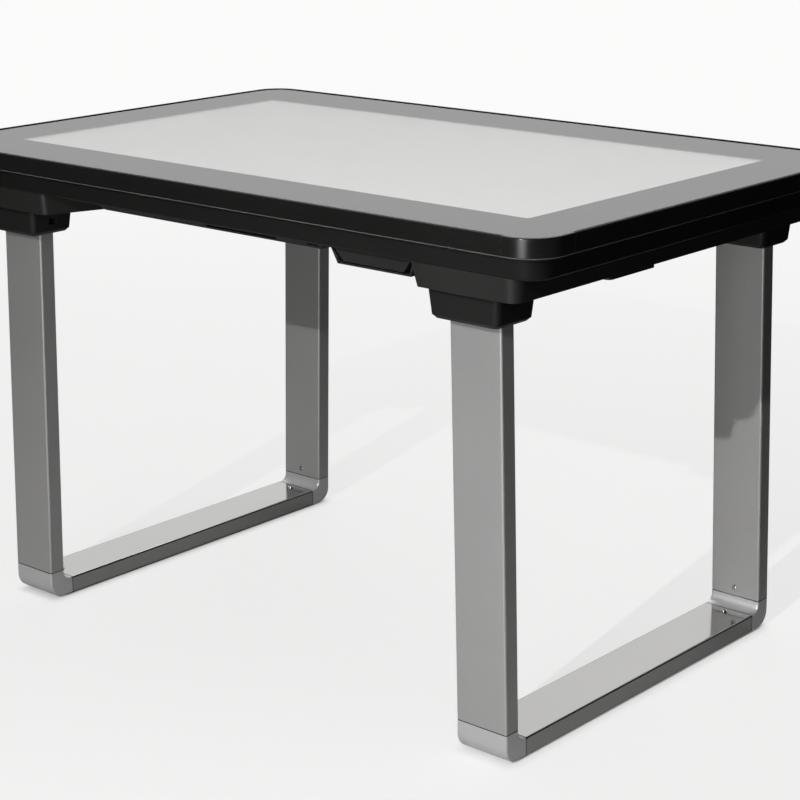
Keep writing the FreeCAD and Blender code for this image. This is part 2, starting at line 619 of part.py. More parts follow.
# Lens of the light slot, set back from the slope of the belly
window = new_body("status_window")
pad(window, "XZ_Plane", f"{BELLY_FRONT} - belly_draft / 2 - window_recess", "window_thickness",
    box_corners("light_slot_start + window_clearance",
                "light_slot_start + light_slot_length - window_clearance",
                f"{BELLY_FLOOR_TOP} + window_clearance", f"{SLOT_TOP} - window_clearance"),
    reverse=True)

# Keys, and the board with their switches above them
for index, name in enumerate(KEYS):
    key = new_body(name)
    cap = round_feature(key, "PartDesign::Pad", "XY_Plane", "-key_proud",
                        "key_proud + housing_floor", [("0", "0", "key_radius")])
    soften(key, "PartDesign::Fillet", cap, "key_edge_round",
           lambda edge: at_height(edge, -value("key_proud")))
    round_feature(key, "PartDesign::Pad", "XY_Plane", "housing_floor", "key_flange_thickness",
                  [("0", "0", "key_radius + key_flange")])
    place(key, key_x(index), KEY_Y, BELLY_UNDER)
control = new_body("control_board")
pad(control, "XY_Plane", CONTROL_UNDER, "board_thickness",
    centred(CONTROL_LENGTH, "control_width", x=CONTROL_X, y=KEY_Y))


# Circuit boards with their heat spreaders
def build_board(name, length, width, x):
    board = new_body(name)
    pad(board, "XY_Plane", BOARD_UNDER, "board_thickness", centred(length, width, x=x))
    pad(board, "XY_Plane", f"{BOARD_UNDER} + board_thickness", "chip_height",
        centred("chip_size", "chip_size", x=x))


build_board("main_board", "main_board_length", "main_board_width", "main_board_x")
build_board("driver_board", "driver_board_length", "driver_board_width", "driver_board_x")

# Speaker box behind the sound slot, open to it
speaker = new_body("speaker_box")
SPEAKER_FRONT = f"({BELLY_FRONT} - belly_draft - housing_wall - speaker_gap)"
speaker_plan = box_corners("sound_slot_start", "sound_slot_start + sound_slot_length",
                           f"-{SPEAKER_FRONT}", f"speaker_depth - {SPEAKER_FRONT}")
pad(speaker, "XY_Plane", BELLY_FLOOR_TOP, "speaker_height", speaker_plan)
pocket(speaker, "XZ_Plane", SPEAKER_FRONT, "speaker_depth - speaker_wall",
       box_corners("sound_slot_start + speaker_wall",
                   "sound_slot_start + sound_slot_length - speaker_wall",
                   f"{BELLY_FLOOR_TOP} + speaker_wall",
                   f"{BELLY_FLOOR_TOP} + speaker_height - speaker_wall"))

# Port hood: a hollow box with sloping ends, closed below by a thin plate with turned-up ends
HOOD_FRONT = "(table_width / 2 - hood_front_inset)"
HOOD_UNDER = f"({HOUSING_UNDER} - hood_height + hood_plate_thickness + hood_groove)"
PLATE_UNDER = f"({HOUSING_UNDER} - hood_height)"
INLET_X = f"({HOOD_END} - hood_length / 2)"
INLET_Y = f"(hood_depth / 2 - {HOOD_FRONT})"
hood = new_body("port_hood")
pad(hood, "XZ_Plane", HOOD_FRONT, "hood_depth",
    [(f"{HOOD_START} + 2 * hood_plate_thickness", HOUSING_UNDER),
     (f"{HOOD_START} + hood_end_run + hood_wedge", HOOD_UNDER),
     (f"{HOOD_END} - hood_end_run - hood_wedge / 2", HOOD_UNDER),
     (f"{HOOD_END} - 2 * hood_plate_thickness", HOUSING_UNDER)], reverse=True)
pocket(hood, "XY_Plane", HOUSING_UNDER, f"{HOUSING_UNDER} - {HOOD_UNDER} - hood_wall",
       box_corners(f"{HOOD_START} + hood_end_run + hood_wedge + hood_wall",
                   f"{HOOD_END} - hood_end_run - hood_wedge / 2 - hood_wall",
                   f"hood_wall - {HOOD_FRONT}", f"hood_depth - hood_wall - {HOOD_FRONT}"))
pocket(hood, "XZ_Plane", f"{HOOD_FRONT} - hood_depth", "2 * hood_wall",
       box_corners(f"{INLET_X} - hood_mouth / 2", f"{INLET_X} + hood_mouth / 2",
                   f"{HOOD_UNDER} + hood_wall", HOUSING_UNDER), reverse=True)
hood_plate = new_body("port_plate")
plate_ends = [
    (HOOD_START, HOUSING_UNDER),
    (f"{HOOD_START} + hood_end_run", PLATE_UNDER),
    (f"{HOOD_END} - hood_end_run / 2", PLATE_UNDER),
    (HOOD_END, HOUSING_UNDER),
    (f"{HOOD_END} - hood_plate_thickness", HOUSING_UNDER),
    (f"{HOOD_END} - hood_end_run / 2 - hood_plate_thickness", f"{PLATE_UNDER} + hood_plate_thickness"),
    (f"{HOOD_START} + hood_end_run + hood_plate_thickness", f"{PLATE_UNDER} + hood_plate_thickness"),
    (f"{HOOD_START} + hood_plate_thickness", HOUSING_UNDER),
]
pad(hood_plate, "XZ_Plane", HOOD_FRONT, "hood_depth", plate_ends, reverse=True)
inlet = new_body("power_inlet")
pad(inlet, "XY_Plane", f"{HOUSING_UNDER} - inlet_height", "inlet_height",
    centred("inlet_length", "inlet_length", x=INLET_X, y=INLET_Y))
round_feature(inlet, "PartDesign::Pocket", "XZ_Plane", f"-({INLET_Y} + inlet_length / 2)", "inlet_length / 2",
              [(INLET_X, f"{HOUSING_UNDER} - inlet_height / 2", "inlet_bore")], reverse=True)


# Beams: moulded bars across the table, with hollows in the top
def beam_outline(sign, level, width, inner_run, flare):
    """Returns the plan of a beam at its top (level 0) or underside (level 1)."""
    outer = f"{sign} * (table_length / 2 - beam_end_inset - {level} * beam_outer_run)"
    inner = f"{sign} * (table_length / 2 - beam_end_inset - {width} + {level} * {inner_run})"
    middle = f"{sign} * (table_length / 2 - beam_end_inset - {width} - {flare})"
    front = f"(table_width / 2 - beam_front_inset - {level} * beam_front_run)"
    bend = "beam_corner_bottom" if level else "beam_corner_top"
    corners = [(outer, f"-{front}", bend), (outer, front, bend)]
    if flare == "0":
        return corners + [(inner, front), (inner, f"-{front}")]
    waist = "(table_width / 2 - beam_front_inset - left_flare_length)"
    return corners + [(inner, front, "beam_inner_radius"), (middle, waist),
                      (middle, f"-{waist}"), (inner, f"-{front}", "beam_inner_radius")]


def build_beam(name, sign, width, inner_run, flare):
    body = new_body(name)
    loft(body, "PartDesign::AdditiveLoft",
         (BEAM_UNDER, beam_outline(sign, 1, width, inner_run, flare)),
         (HOUSING_UNDER, beam_outline(sign, 0, width, inner_run, flare)))
    middle = f"{sign} * {SOCKET_X}"
    first = "-(beam_pocket_count - 1) / 2 * beam_pocket_pitch"
    hollow = pocket(body, "XY_Plane", HOUSING_UNDER, "beam_height - beam_pocket_floor",
                    centred("beam_pocket_width", "beam_pocket_length", x=middle, y=first))
    doc.recompute()
    row = body.newObject("PartDesign::LinearPattern", "Hollows")
    row.Originals = [hollow]
    row.Direction = (hollow.Profile[0], ["V_Axis"])
    bind(row, "Length", "(beam_pocket_count - 1) * beam_pocket_pitch")
    bind(row, "Occurrences", "beam_pocket_count")
    body.Tip = row
    round_feature(body, "PartDesign::Pocket", "XY_Plane", BEAM_UNDER, "bolt_grip + hole_clearance",
                  [(middle, f"{end} * ({POST_Y} + {share} * bolt_offset)", "bolt_shank_radius + hole_clearance")
                   for end in ENDS.values() for share in (-1, 1)], reverse=True)
    round_feature(body, "PartDesign::Pocket", "XY_Plane", HOUSING_UNDER,
                  "frame_shank_length - housing_floor + hole_clearance",
                  [(x, y, "frame_shank_radius + hole_clearance") for x, y in BEAM_SCREWS
                   if value(x) * sign > 0])


build_beam("left_beam", SIDES["left"], "left_beam_width", "0", "left_flare")
build_beam("right_beam", SIDES["right"], "right_beam_width", "right_inner_run", "0")

# Plates under the beams
for side, side_sign in SIDES.items():
    plate = new_body(f"{side}_beam_plate")
    edge = "(table_length / 2 - beam_end_inset - beam_outer_run - plate_edge_inset)"
    pad(plate, "XY_Plane", f"{BEAM_UNDER} - plate_thickness", "plate_thickness",
        centred("plate_width", "plate_length", "plate_corner_radius",
                x=f"{side_sign} * ({edge} - plate_width / 2)", y="plate_middle"))

# Leg loops
TUBE_WIDE = "(leg_width - 2 * leg_wall)"
TUBE_NARROW = "(leg_thickness - 2 * leg_wall)"
SPIGOT_WIDE = f"({TUBE_WIDE} - 2 * spigot_clearance)"
SPIGOT_NARROW = f"({TUBE_NARROW} - 2 * spigot_clearance)"
SCREW_HOLE = "foot_shank_radius + hole_clearance"


# Sockets: tapered blocks that take the posts, with a window on the inner side
def build_socket(name, x_sign, y_sign):
    body = new_body(name)
    loft(body, "PartDesign::AdditiveLoft",
         ("0", centred("socket_length - 2 * socket_chamfer", "socket_width - 2 * socket_chamfer",
                       "socket_round - socket_chamfer / 2")),
         ("socket_chamfer", centred("socket_length", "socket_width", "socket_round")),
         ("socket_height", centred("socket_length + 2 * socket_flare", "socket_width + 2 * socket_flare",
                                   "socket_round")))
    seat = ("leg_width + 2 * socket_clearance", "leg_thickness + 2 * socket_clearance")
    lean = f"leg_splay * socket_seat / (2 * {POST_LENGTH})"
    loft(body, "PartDesign::SubtractiveLoft",
         ("0", centred(*seat, x=f"{x_sign} * {lean}")),
         ("socket_seat", centred(*seat, x=f"{-x_sign} * {lean}")))
    round_feature(body, "PartDesign::Pocket", "XY_Plane", "0", "bolt_sink",
                  [("0", f"{share} * bolt_offset", "bolt_head_radius + hole_clearance") for share in (-1, 1)],
                  reverse=True)
    round_feature(body, "PartDesign::Pocket", "XY_Plane", "0", "socket_height",
                  [("0", f"{share} * bolt_offset", "bolt_shank_radius + hole_clearance") for share in (-1, 1)],
                  reverse=True)
    reach = "(socket_length / 2 + socket_flare)"
    pocket(body, "YZ_Plane", f"-{x_sign} * {reach}", f"{reach} - leg_width / 2",
           box_corners("-latch_width / 2", "latch_width / 2",
                       "latch_rise - latch_height / 2", "latch_rise + latch_height / 2"),
           reverse=x_sign > 0)
    place(body, f"{x_sign} * {SOCKET_X}", f"{y_sign} * {POST_Y}", SOCKET_UNDER)


# Posts: flat tubes that lean outwards to the foot, drilled for the foot screw and the lock screw
def build_post(name, x_sign, y_sign):
    body = new_body(name)
    top = f"{-x_sign} * leg_splay"
    tube = ("leg_width", "leg_thickness", "leg_edge_radius")
    bore = (TUBE_WIDE, TUBE_NARROW, "tube_inner_radius")
    loft(body, "PartDesign::AdditiveLoft",
         ("0", centred("leg_width - 2 * seam_chamfer", "leg_thickness - 2 * seam_chamfer",
                       "leg_edge_radius - seam_chamfer")),
         ("seam_chamfer", centred(*tube, x=f"{top} * seam_chamfer / {POST_LENGTH}")),
         (POST_LENGTH, centred(*tube, x=top)))
    loft(body, "PartDesign::SubtractiveLoft", ("0", centred(*bore)), (POST_LENGTH, centred(*bore, x=top)))
    round_feature(body, "PartDesign::Pocket", "XZ_Plane", f"{y_sign} * leg_thickness / 2", "leg_thickness / 2",
                  [("0", "screw_rise", SCREW_HOLE)], reverse=y_sign < 0)
    lock_rise = f"({SOCKET_UNDER} + latch_rise - {POST_FOOT})"
    inner_side = f"{-x_sign} * (leg_width / 2 + leg_splay)"
    round_feature(body, "PartDesign::Pocket", "YZ_Plane", inner_side, "leg_width / 2",
                  [("0", lock_rise, SCREW_HOLE)], reverse=x_sign > 0)
    place(body, f"{x_sign} * {POST_X}", f"{y_sign} * {POST_Y}", POST_FOOT)


# Foot corners: a bent casting with a spigot for each tube
def build_foot(name, x_sign, y_sign):
    body = new_body(name)
    bend = pad(body, "YZ_Plane", "0", "leg_width", [
        ("0", "foot_rise"),
        ("0", "0", "foot_outer_radius"),
        ("foot_run", "0"),
        ("foot_run", "leg_thickness"),
        ("leg_thickness", "leg_thickness", "foot_inner_radius"),
        ("leg_thickness", "foot_rise"),
    ], symmetric=True)
    half = value("leg_width / 2")
    rise = value("foot_rise")
    run = value("foot_run")

    def is_seam_edge(edge):
        """Tells whether an edge bounds a face that meets a tube."""
        points = edge_points(edge)
        return at_height(edge, rise) or all(abs(point.y - run) < TOLERANCE for point in points)

    def is_long_edge(edge):
        """Tells whether an edge follows the bend on one of its two flat sides."""
        on_side = all(abs(abs(point.x) - half) < TOLERANCE for point in edge_points(edge))
        return on_side and not is_seam_edge(edge)

    rounded = soften(body, "PartDesign::Fillet", bend, "leg_edge_radius", is_long_edge)
    soften(body, "PartDesign::Chamfer", rounded, "seam_chamfer", is_seam_edge)
    spigot = (SPIGOT_WIDE, SPIGOT_NARROW, "tube_inner_radius")
    lean = f"{x_sign * y_sign} * leg_splay * spigot_length / {POST_LENGTH}"
    loft(body, "PartDesign::AdditiveLoft", ("foot_rise", centred(*spigot, y="leg_thickness / 2")),
         ("foot_rise + spigot_length", centred(*spigot, x=lean, y="leg_thickness / 2")))
    pad(body, "XZ_Plane", "-foot_run", "spigot_length", centred(*spigot, y="leg_thickness / 2"), reverse=True)
    round_feature(body, "PartDesign::Pocket", "XZ_Plane", "-leg_thickness", "leg_thickness - leg_wall",
                  [("0", "foot_rise + screw_rise", SCREW_HOLE)], reverse=True)
    round_feature(body, "PartDesign::Pocket", "XY_Plane", "leg_thickness", "leg_thickness - leg_wall",
                  [("0", "foot_run + screw_rise", SCREW_HOLE)])
    place(body, f"{x_sign} * {POST_X}", f"{y_sign} * {LEG_REACH}", "foot_strip_thickness", turned=y_sign > 0)


for end, end_sign in ENDS.items():
    for side, side_sign in SIDES.items():
        build_socket(f"socket_{end}_{side}", side_sign, end_sign)
        build_post(f"post_{end}_{side}", side_sign, end_sign)
        build_foot(f"foot_corner_{end}_{side}", side_sign, end_sign)

# Floor bars and the strips under them
BAR_LENGTH = f"(2 * ({LEG_REACH} - foot_run))"


def is_bar_end(edge):
    """Tells whether an edge runs round the outside of a floor bar's end."""
    points = edge_points(edge)
    wide = value(TUBE_WIDE) / 2 + TOLERANCE
    narrow = value(TUBE_NARROW) / 2 + TOLERANCE
    half_bar = value(BAR_LENGTH) / 2
    middle = value("leg_thickness / 2")
    outside = any(abs(point.x) > wide or abs(point.z - middle) > narrow for point in points)
    return outside and all(abs(abs(point.y) - half_bar) < TOLERANCE for point in points)


for side, side_sign in SIDES.items():
    bar = new_body(f"floor_bar_{side}")
    tube = pad(bar, "XZ_Plane", "0", BAR_LENGTH,
               centred("leg_width", "leg_thickness", "leg_edge_radius", y="leg_thickness / 2"),
               centred(TUBE_WIDE, TUBE_NARROW, "tube_inner_radius", y="leg_thickness / 2"), symmetric=True)
    soften(bar, "PartDesign::Chamfer", tube, "seam_chamfer", is_bar_end)
    round_feature(bar, "PartDesign::Pocket", "XY_Plane", "leg_thickness", "leg_thickness / 2",
                  [("0", f"{share} * ({BAR_LENGTH} / 2 - screw_rise)", SCREW_HOLE) for share in (-1, 1)])
    place(bar, f"{side_sign} * {POST_X}", "0", "foot_strip_thickness")
    strip = new_body(f"foot_strip_{side}")
    pad(strip, "XY_Plane", "0", "foot_strip_thickness",
        centred("leg_width - 2 * foot_strip_inset", f"2 * ({LEG_REACH} - foot_strip_end)", "foot_strip_inset"))
    place(strip, f"{side_sign} * {POST_X}", "0", "0")


# Fasteners: groups of pan-head screws, each screw given as (seat, direction of the head)
def screw_group(label, kind, shank_length, places):
    head_radius = value(f"{kind}_head_radius")
    head_height = value(f"{kind}_head_height")
    shank_radius = value(f"{kind}_shank_radius")
    origin = FreeCAD.Vector(0, 0, 0)
    up = FreeCAD.Vector(0, 0, 1)
    head = Part.makeCylinder(head_radius, head_height, origin, up)
    rim = [edge for edge in head.Edges if at_height(edge, head_height)]
    head = head.makeFillet(head_height / 2, rim)
    screw = head.fuse(Part.makeCylinder(shank_radius, shank_length, origin, -up)).removeSplitter()
    group = doc.addObject("Part::Feature", label)
    group.Label = label
    copies = []
    for seat, direction in places:
        point = FreeCAD.Vector(*[value(text) for text in seat])
        turn = FreeCAD.Rotation(up, FreeCAD.Vector(*direction))
        copies.append(screw.transformed(FreeCAD.Placement(point, turn).toMatrix()))
    group.Shape = Part.makeCompound(copies)
    group.Placement = FreeCAD.Placement()
    nodes.append(group)


LEG_SIGNS = [(x_sign, y_sign) for x_sign in SIDES.values() for y_sign in ENDS.values()]
FOOT_SEAT_Z = "foot_strip_thickness + leg_thickness"
foot_screws = []
bolts = []
lock_screws = []
for x_sign, y_sign in LEG_SIGNS:
    x_place = f"{x_sign} * {POST_X}"
    foot_screws.append(((x_place, f"{y_sign} * ({LEG_REACH} - leg_thickness)", f"{POST_FOOT} + screw_rise"),
                        (0, -y_sign, 0)))
    foot_screws.append(((x_place, f"{y_sign} * ({BAR_LENGTH} / 2 - screw_rise)", FOOT_SEAT_Z), (0, 0, 1)))
    lock_level = f"({SOCKET_UNDER} + latch_rise)"
    lock_seat = (f"{x_sign} * ({post_x(lock_level)} - leg_width / 2)", f"{y_sign} * {POST_Y}", lock_level)
    lock_screws.append((lock_seat, (-x_sign * value(POST_LENGTH), 0, -value("leg_splay"))))
    for share in (-1, 1):
        bolts.append(((f"{x_sign} * {SOCKET_X}", f"{y_sign} * ({POST_Y} + {share} * bolt_offset)",
                       f"{SOCKET_UNDER} + bolt_sink"), (0, 0, -1)))
screw_group("corner_screws", "foot", value("foot_shank_length"), foot_screws)
screw_group("post_lock_screws", "foot", value("foot_shank_length"), lock_screws)
screw_group("socket_bolts", "bolt", value("socket_height - bolt_sink + bolt_grip"), bolts)
screw_group("frame_screws", "frame", value("frame_shank_length"),
            [((x, y, f"{GLASS_UNDER} - frame_head_height"), (0, 0, 1)) for x, y in FRAME_SCREWS])
screw_group("beam_screws", "frame", value("frame_shank_length"),
            [((x, y, HOUSING_FLOOR_TOP), (0, 0, 1)) for x, y in BEAM_SCREWS])

doc.recompute()
faults = [item.Label for item in doc.Objects if {"Invalid", "Error"} & set(item.State)]
faults += [node.Label for node in nodes if node.Shape.isNull() or not node.Shape.isValid()]
faults += [node.Label for node in nodes
           if node.isDerivedFrom("PartDesign::Body") and len(node.Shape.Solids) != 1]
if faults:
    raise RuntimeError("pieces that failed: " + ", ".join(sorted(set(faults))))
os.makedirs("parts", exist_ok=True)
for node in nodes:
    node.Shape.exportStep(os.path.join("parts", node.Label + ".step"))
print(len(nodes), "pieces written")
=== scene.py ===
"""Looks of a games table: a black framed touch screen carried by two loops of flat silver-grey tube."""

import logging
import math
from collections.abc import Iterable
from dataclasses import dataclass, replace
from enum import Enum
from functools import cache

import bmesh
import bpy
from bmesh.types import BMEdge, BMesh, BMVert
from bpy.types import Material, Node, NodeInputs, NodeOutputs, NodeSocket, NodeTree, Object
from mathutils import Matrix, Vector


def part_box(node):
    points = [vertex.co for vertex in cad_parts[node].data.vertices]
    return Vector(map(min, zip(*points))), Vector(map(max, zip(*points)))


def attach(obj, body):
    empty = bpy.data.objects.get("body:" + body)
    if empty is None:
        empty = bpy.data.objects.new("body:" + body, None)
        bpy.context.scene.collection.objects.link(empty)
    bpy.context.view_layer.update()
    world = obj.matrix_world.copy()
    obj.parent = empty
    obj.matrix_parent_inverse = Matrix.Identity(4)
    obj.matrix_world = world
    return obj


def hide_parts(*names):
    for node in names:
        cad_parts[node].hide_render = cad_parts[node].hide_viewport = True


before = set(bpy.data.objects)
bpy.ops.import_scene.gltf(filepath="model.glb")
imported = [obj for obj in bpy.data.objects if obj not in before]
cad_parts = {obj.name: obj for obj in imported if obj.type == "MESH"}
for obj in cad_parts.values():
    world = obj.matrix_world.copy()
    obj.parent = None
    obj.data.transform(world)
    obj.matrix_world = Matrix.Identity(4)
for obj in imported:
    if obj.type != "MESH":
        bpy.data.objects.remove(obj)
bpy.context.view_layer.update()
LOG = logging.getLogger("games_table")
TABLE_BODY = "table"
SIDES: dict[str, int] = {"left": -1, "right": 1}
ENDS: dict[str, int] = {"front": -1, "rear": 1}
Colour = tuple[float, float, float]
Point = tuple[float, float, float]
BLACK: Colour = (0.0, 0.0, 0.0)
WHITE: Colour = (1.0, 1.0, 1.0)
SEEN_COLOUR: Colour = (0.962, 0.962, 0.958)


def opaque(colour: Colour, share: float = 1.0) -> tuple[float, ...]:
    """Multiplies a colour by a share and gives it full alpha."""
    return tuple(channel * share for channel in colour) + (1.0,)


def rectangle(shape: BMesh, place: Matrix, length: float, width: float) -> list[BMVert]:
    """Adds a flat rectangle to a shape.

    Args:
        shape: The shape.
        place: Where its middle goes and how it is turned.
        length: Its size along its own X.
        width: Its size along its own Y.

    Returns:
        Its corners.
    """
    size = Matrix.Diagonal((length, width, 1.0, 1.0))
    return bmesh.ops.create_grid(shape, x_segments=1, y_segments=1, size=0.5, matrix=place @ size)["verts"]


def edges_at(verts: list[BMVert]) -> list[BMEdge]:
    """Gives the edges that meet at some vertices."""
    return list({edge for vert in verts for edge in vert.link_edges})


def stand(shape: BMesh, name: str, material: Material) -> Object:
    """Turns a shape into an object in the scene.

    Args:
        shape: The shape, which is freed.
        name: The object's name.
        material: Its material.

    Returns:
        The new object.
    """
    mesh = bpy.data.meshes.new(name)
    shape.to_mesh(mesh)
    shape.free()
    mesh.materials.append(material)
    thing = bpy.data.objects.new(name, mesh)
    bpy.context.scene.collection.objects.link(thing)
    return thing


class NodeSheet:
    """A node tree with short ways to add, set and join nodes. A node stands for its first output."""

    # The sockets of a Mix node that take a share and two colours, and the one that gives the mixed colour.
    COLOUR_INPUTS: tuple[int, int, int] = (0, 6, 7)
    COLOUR_OUTPUT: int = 2

    def __init__(self, tree: NodeTree) -> None:
        """Takes a node tree and empties it."""
        self.tree = tree
        self.tree.nodes.clear()

    def feed(self, socket: NodeSocket, value: object) -> None:
        """Sets an input to a value, or joins it to an output.

        Args:
            socket: The input.
            value: A plain value, an output socket or a node.
        """
        source = value.outputs[0] if isinstance(value, Node) else value
        if isinstance(source, NodeSocket):
            self.tree.links.new(source, socket)
        else:
            socket.default_value = source

    def add(self, kind: str, options: dict[str, object] | None = None, *terms: object,
            **inputs: object) -> Node:
        """Adds a shader node.

        Args:
            kind: The node's type, without its leading "ShaderNode".
            options: Settings of the node itself.
            terms: What feeds its first inputs, in order.
            inputs: What feeds its inputs by name, with an underscore for each blank in a name.

        Returns:
            The new node.
        """
        node = self.tree.nodes.new("ShaderNode" + kind)
        for name, value in (options or {}).items():
            setattr(node, name, value)
        for socket, value in zip(node.inputs, terms):
            self.feed(socket, value)
        for name, value in inputs.items():
            self.feed(node.inputs[name.replace("_", " ")], value)
        return node

    def place(self) -> NodeSocket:
        """Gives the place on the piece, in metres."""
        return self.add("TexCoord").outputs["Object"]

    def group(self, tree: NodeTree, **inputs: object) -> Node:
        """Places a node group with its own values."""
        return self.add("Group", {"node_tree": tree}, **inputs)

    def maths(self, operation: str, *terms: object) -> Node:
        """Adds a Math node for the terms."""
        return self.add("Math", {"operation": operation}, *terms)

    def vectors(self, operation: str, *terms: object) -> Node:
        """Adds a Vector Math node for the terms."""
        return self.add("VectorMath", {"operation": operation}, *terms)

    def either(self, share: object, first: object, second: object) -> Node:
        """Mixes two shaders. The share is how much of the second one shows."""
        return self.add("MixShader", None, share, first, second)

    def blend(self, share: object, first: object, second: object) -> NodeSocket:
        """Mixes two colours.

        Args:
            share: How much of the second colour shows.
            first: The first colour or its source.
            second: The second colour or its source.

        Returns:
            The mixed colour's socket.
        """
        node = self.add("Mix", {"data_type": "RGBA"})
        for index, value in zip(self.COLOUR_INPUTS, (share, first, second)):
            self.feed(node.inputs[index], value)
        return node.outputs[self.COLOUR_OUTPUT]


class Effects:
    """Surface effects that several finishes share, each a node group that is built once."""

    EDGE_SAMPLES: int = 6
    GRAIN_TONE_SCALE: float = 14.0
    FLAKE_TONE_SCALE: float = 9.0
    CLOUD_LOW: float = 0.32
    CLOUD_HIGH: float = 0.68

    @staticmethod
    def _start(name: str, inputs: dict[str, str], outputs: dict[str, str]
               ) -> tuple[NodeSheet, NodeOutputs, NodeInputs]:
        """Makes an empty group with its sockets.

        Args:
            name: The group's name.
            inputs: Socket kinds by input name.
            outputs: Socket kinds by output name.

        Returns:
            The sheet of the new group, the sockets that come in and the sockets that go out.
        """
        tree = bpy.data.node_groups.new(name, "ShaderNodeTree")
        for names, way in ((inputs, "INPUT"), (outputs, "OUTPUT")):
            for socket, kind in names.items():
                tree.interface.new_socket(name=socket, in_out=way, socket_type="NodeSocket" + kind)
        sheet = NodeSheet(tree)
        source = tree.nodes.new("NodeGroupInput")
        target = tree.nodes.new("NodeGroupOutput")
        return sheet, source.outputs, target.inputs

    @cache
    def soft_edge_and_highlight(self) -> NodeTree:
        """Makes the effect of a small rounding on sharp edges.

        Returns:
            A group that gives the rounded normal, and a mask that is 1 on the edges, where a paler colour
            is painted as a highlight.
        """
        sheet, taken, given = self._start("soft_edge_and_highlight", {"Radius": "Float", "Gain": "Float"},
                                          {"Normal": "Vector", "Mask": "Float"})
        rounded = sheet.add("Bevel", {"samples": self.EDGE_SAMPLES}, Radius=taken["Radius"])
        plain = sheet.add("NewGeometry")
        along = sheet.vectors("DOT_PRODUCT", rounded, plain.outputs["Normal"])
        turned = sheet.maths("SUBTRACT", 1.0, along.outputs["Value"])
        mask = sheet.maths("MINIMUM", sheet.maths("MULTIPLY", turned, taken["Gain"]), 1.0)
        sheet.feed(given["Normal"], rounded)
        sheet.feed(given["Mask"], mask)
        return sheet.tree

    @cache
    def moulded_grain(self) -> NodeTree:
        """Makes the fine grain of a spark-eroded mould.

        Returns:
            A group that gives the grain's height and a slow change of tone.
        """
        sheet, taken, given = self._start("moulded_grain", {"Vector": "Vector", "Scale": "Float"},
                                          {"Height": "Float", "Tone": "Float"})
        pits = sheet.add("TexVoronoi", {"feature": "SMOOTH_F1"}, Vector=taken["Vector"],
                         Scale=taken["Scale"])
        fine = sheet.add("TexNoise", Vector=taken["Vector"], Scale=taken["Scale"], Detail=3.0,
                         Roughness=0.6)
        slow = sheet.add("TexNoise", Vector=taken["Vector"], Scale=self.GRAIN_TONE_SCALE, Detail=4.0)
        sheet.feed(given["Height"], sheet.maths("ADD", pits, fine))
        sheet.feed(given["Tone"], slow)
        return sheet.tree

    @cache
    def handling(self) -> NodeTree:
        """Makes the faint cloudiness that wiping and touching leave.

        Returns:
            A group that gives a value between its low and high ends.
        """
        wanted = {"Vector": "Vector", "Scale": "Float", "Low": "Float", "High": "Float"}
        sheet, taken, given = self._start("handling", wanted, {"Value": "Float"})
        cloud = sheet.add("TexNoise", Vector=taken["Vector"], Scale=taken["Scale"], Detail=5.0,
                          Distortion=0.6)
        span = sheet.add("MapRange", From_Min=self.CLOUD_LOW, From_Max=self.CLOUD_HIGH,
                         To_Min=taken["Low"], To_Max=taken["High"], Value=cloud)
        sheet.feed(given["Value"], span)
        return sheet.tree

    @cache
    def metal_flake(self) -> NodeTree:
        """Makes the flakes in a silver finish.

        Returns:
            A group that gives a tone that differs from flake to flake.
        """
        sheet, taken, given = self._start("metal_flake", {"Vector": "Vector", "Scale": "Float"},
                                          {"Tone": "Float"})
        cells = sheet.add("TexVoronoi", Vector=taken["Vector"], Scale=taken["Scale"])
        grey = sheet.add("RGBToBW", Color=cells.outputs["Color"])
        slow = sheet.add("TexNoise", Vector=taken["Vector"], Scale=self.FLAKE_TONE_SCALE, Detail=3.0)
        tone = sheet.maths("ADD", sheet.maths("MULTIPLY", grey, 0.5), sheet.maths("MULTIPLY", slow, 0.5))
        sheet.feed(given["Tone"], tone)
        return sheet.tree

    @cache
    def level_band(self) -> NodeTree:
        """Makes a band between two heights.

        Returns:
            A group that gives a mask that is 1 between its low and high levels.
        """
        wanted = {"Vector": "Vector", "Low": "Float", "High": "Float"}
        sheet, taken, given = self._start("level_band", wanted, {"Mask": "Float"})
        height = sheet.add("SeparateXYZ", Vector=taken["Vector"]).outputs["Z"]
        above = sheet.maths("GREATER_THAN", height, taken["Low"])
        below = sheet.maths("LESS_THAN", height, taken["High"])
        sheet.feed(given["Mask"], sheet.maths("MULTIPLY", above, below))
        return sheet.tree

    @cache
    def joint_line(self) -> NodeTree:
        """Makes the dark line in the grooves where posts and bars meet the foot corners.

        Returns:
            A group that gives a mask that is 1 at a joint: Rise is a post's joint, Run is a bar's.
        """
        wanted = {"Vector": "Vector", "Rise": "Float", "Run": "Float", "Width": "Float"}
        sheet, taken, given = self._start("joint_line", wanted, {"Mask": "Float"})
        place = sheet.add("SeparateXYZ", Vector=taken["Vector"]).outputs
        half = sheet.maths("MULTIPLY", taken["Width"], 0.5)
        upright = sheet.maths("COMPARE", place["Z"], taken["Rise"], half)
        level = sheet.maths("COMPARE", sheet.maths("ABSOLUTE", place["Y"]), taken["Run"], half)
        sheet.feed(given["Mask"], sheet.maths("MAXIMUM", upright, level))
        return sheet.tree

    @cache
    def draw_lines(self) -> NodeTree:
        """Makes the lines that drawing or turning leaves in bare metal.

        Returns:
            A group that gives the lines as a tone, long along the axis with the least stretch.
        """
        sheet, taken, given = self._start("draw_lines", {"Vector": "Vector", "Stretch": "Vector"},
                                          {"Tone": "Float"})
        pulled = sheet.vectors("MULTIPLY", taken["Vector"], taken["Stretch"])
        lines = sheet.add("TexNoise", Vector=pulled, Scale=1.0, Detail=4.0)
        sheet.feed(given["Tone"], lines)
        return sheet.tree


EFFECTS = Effects()


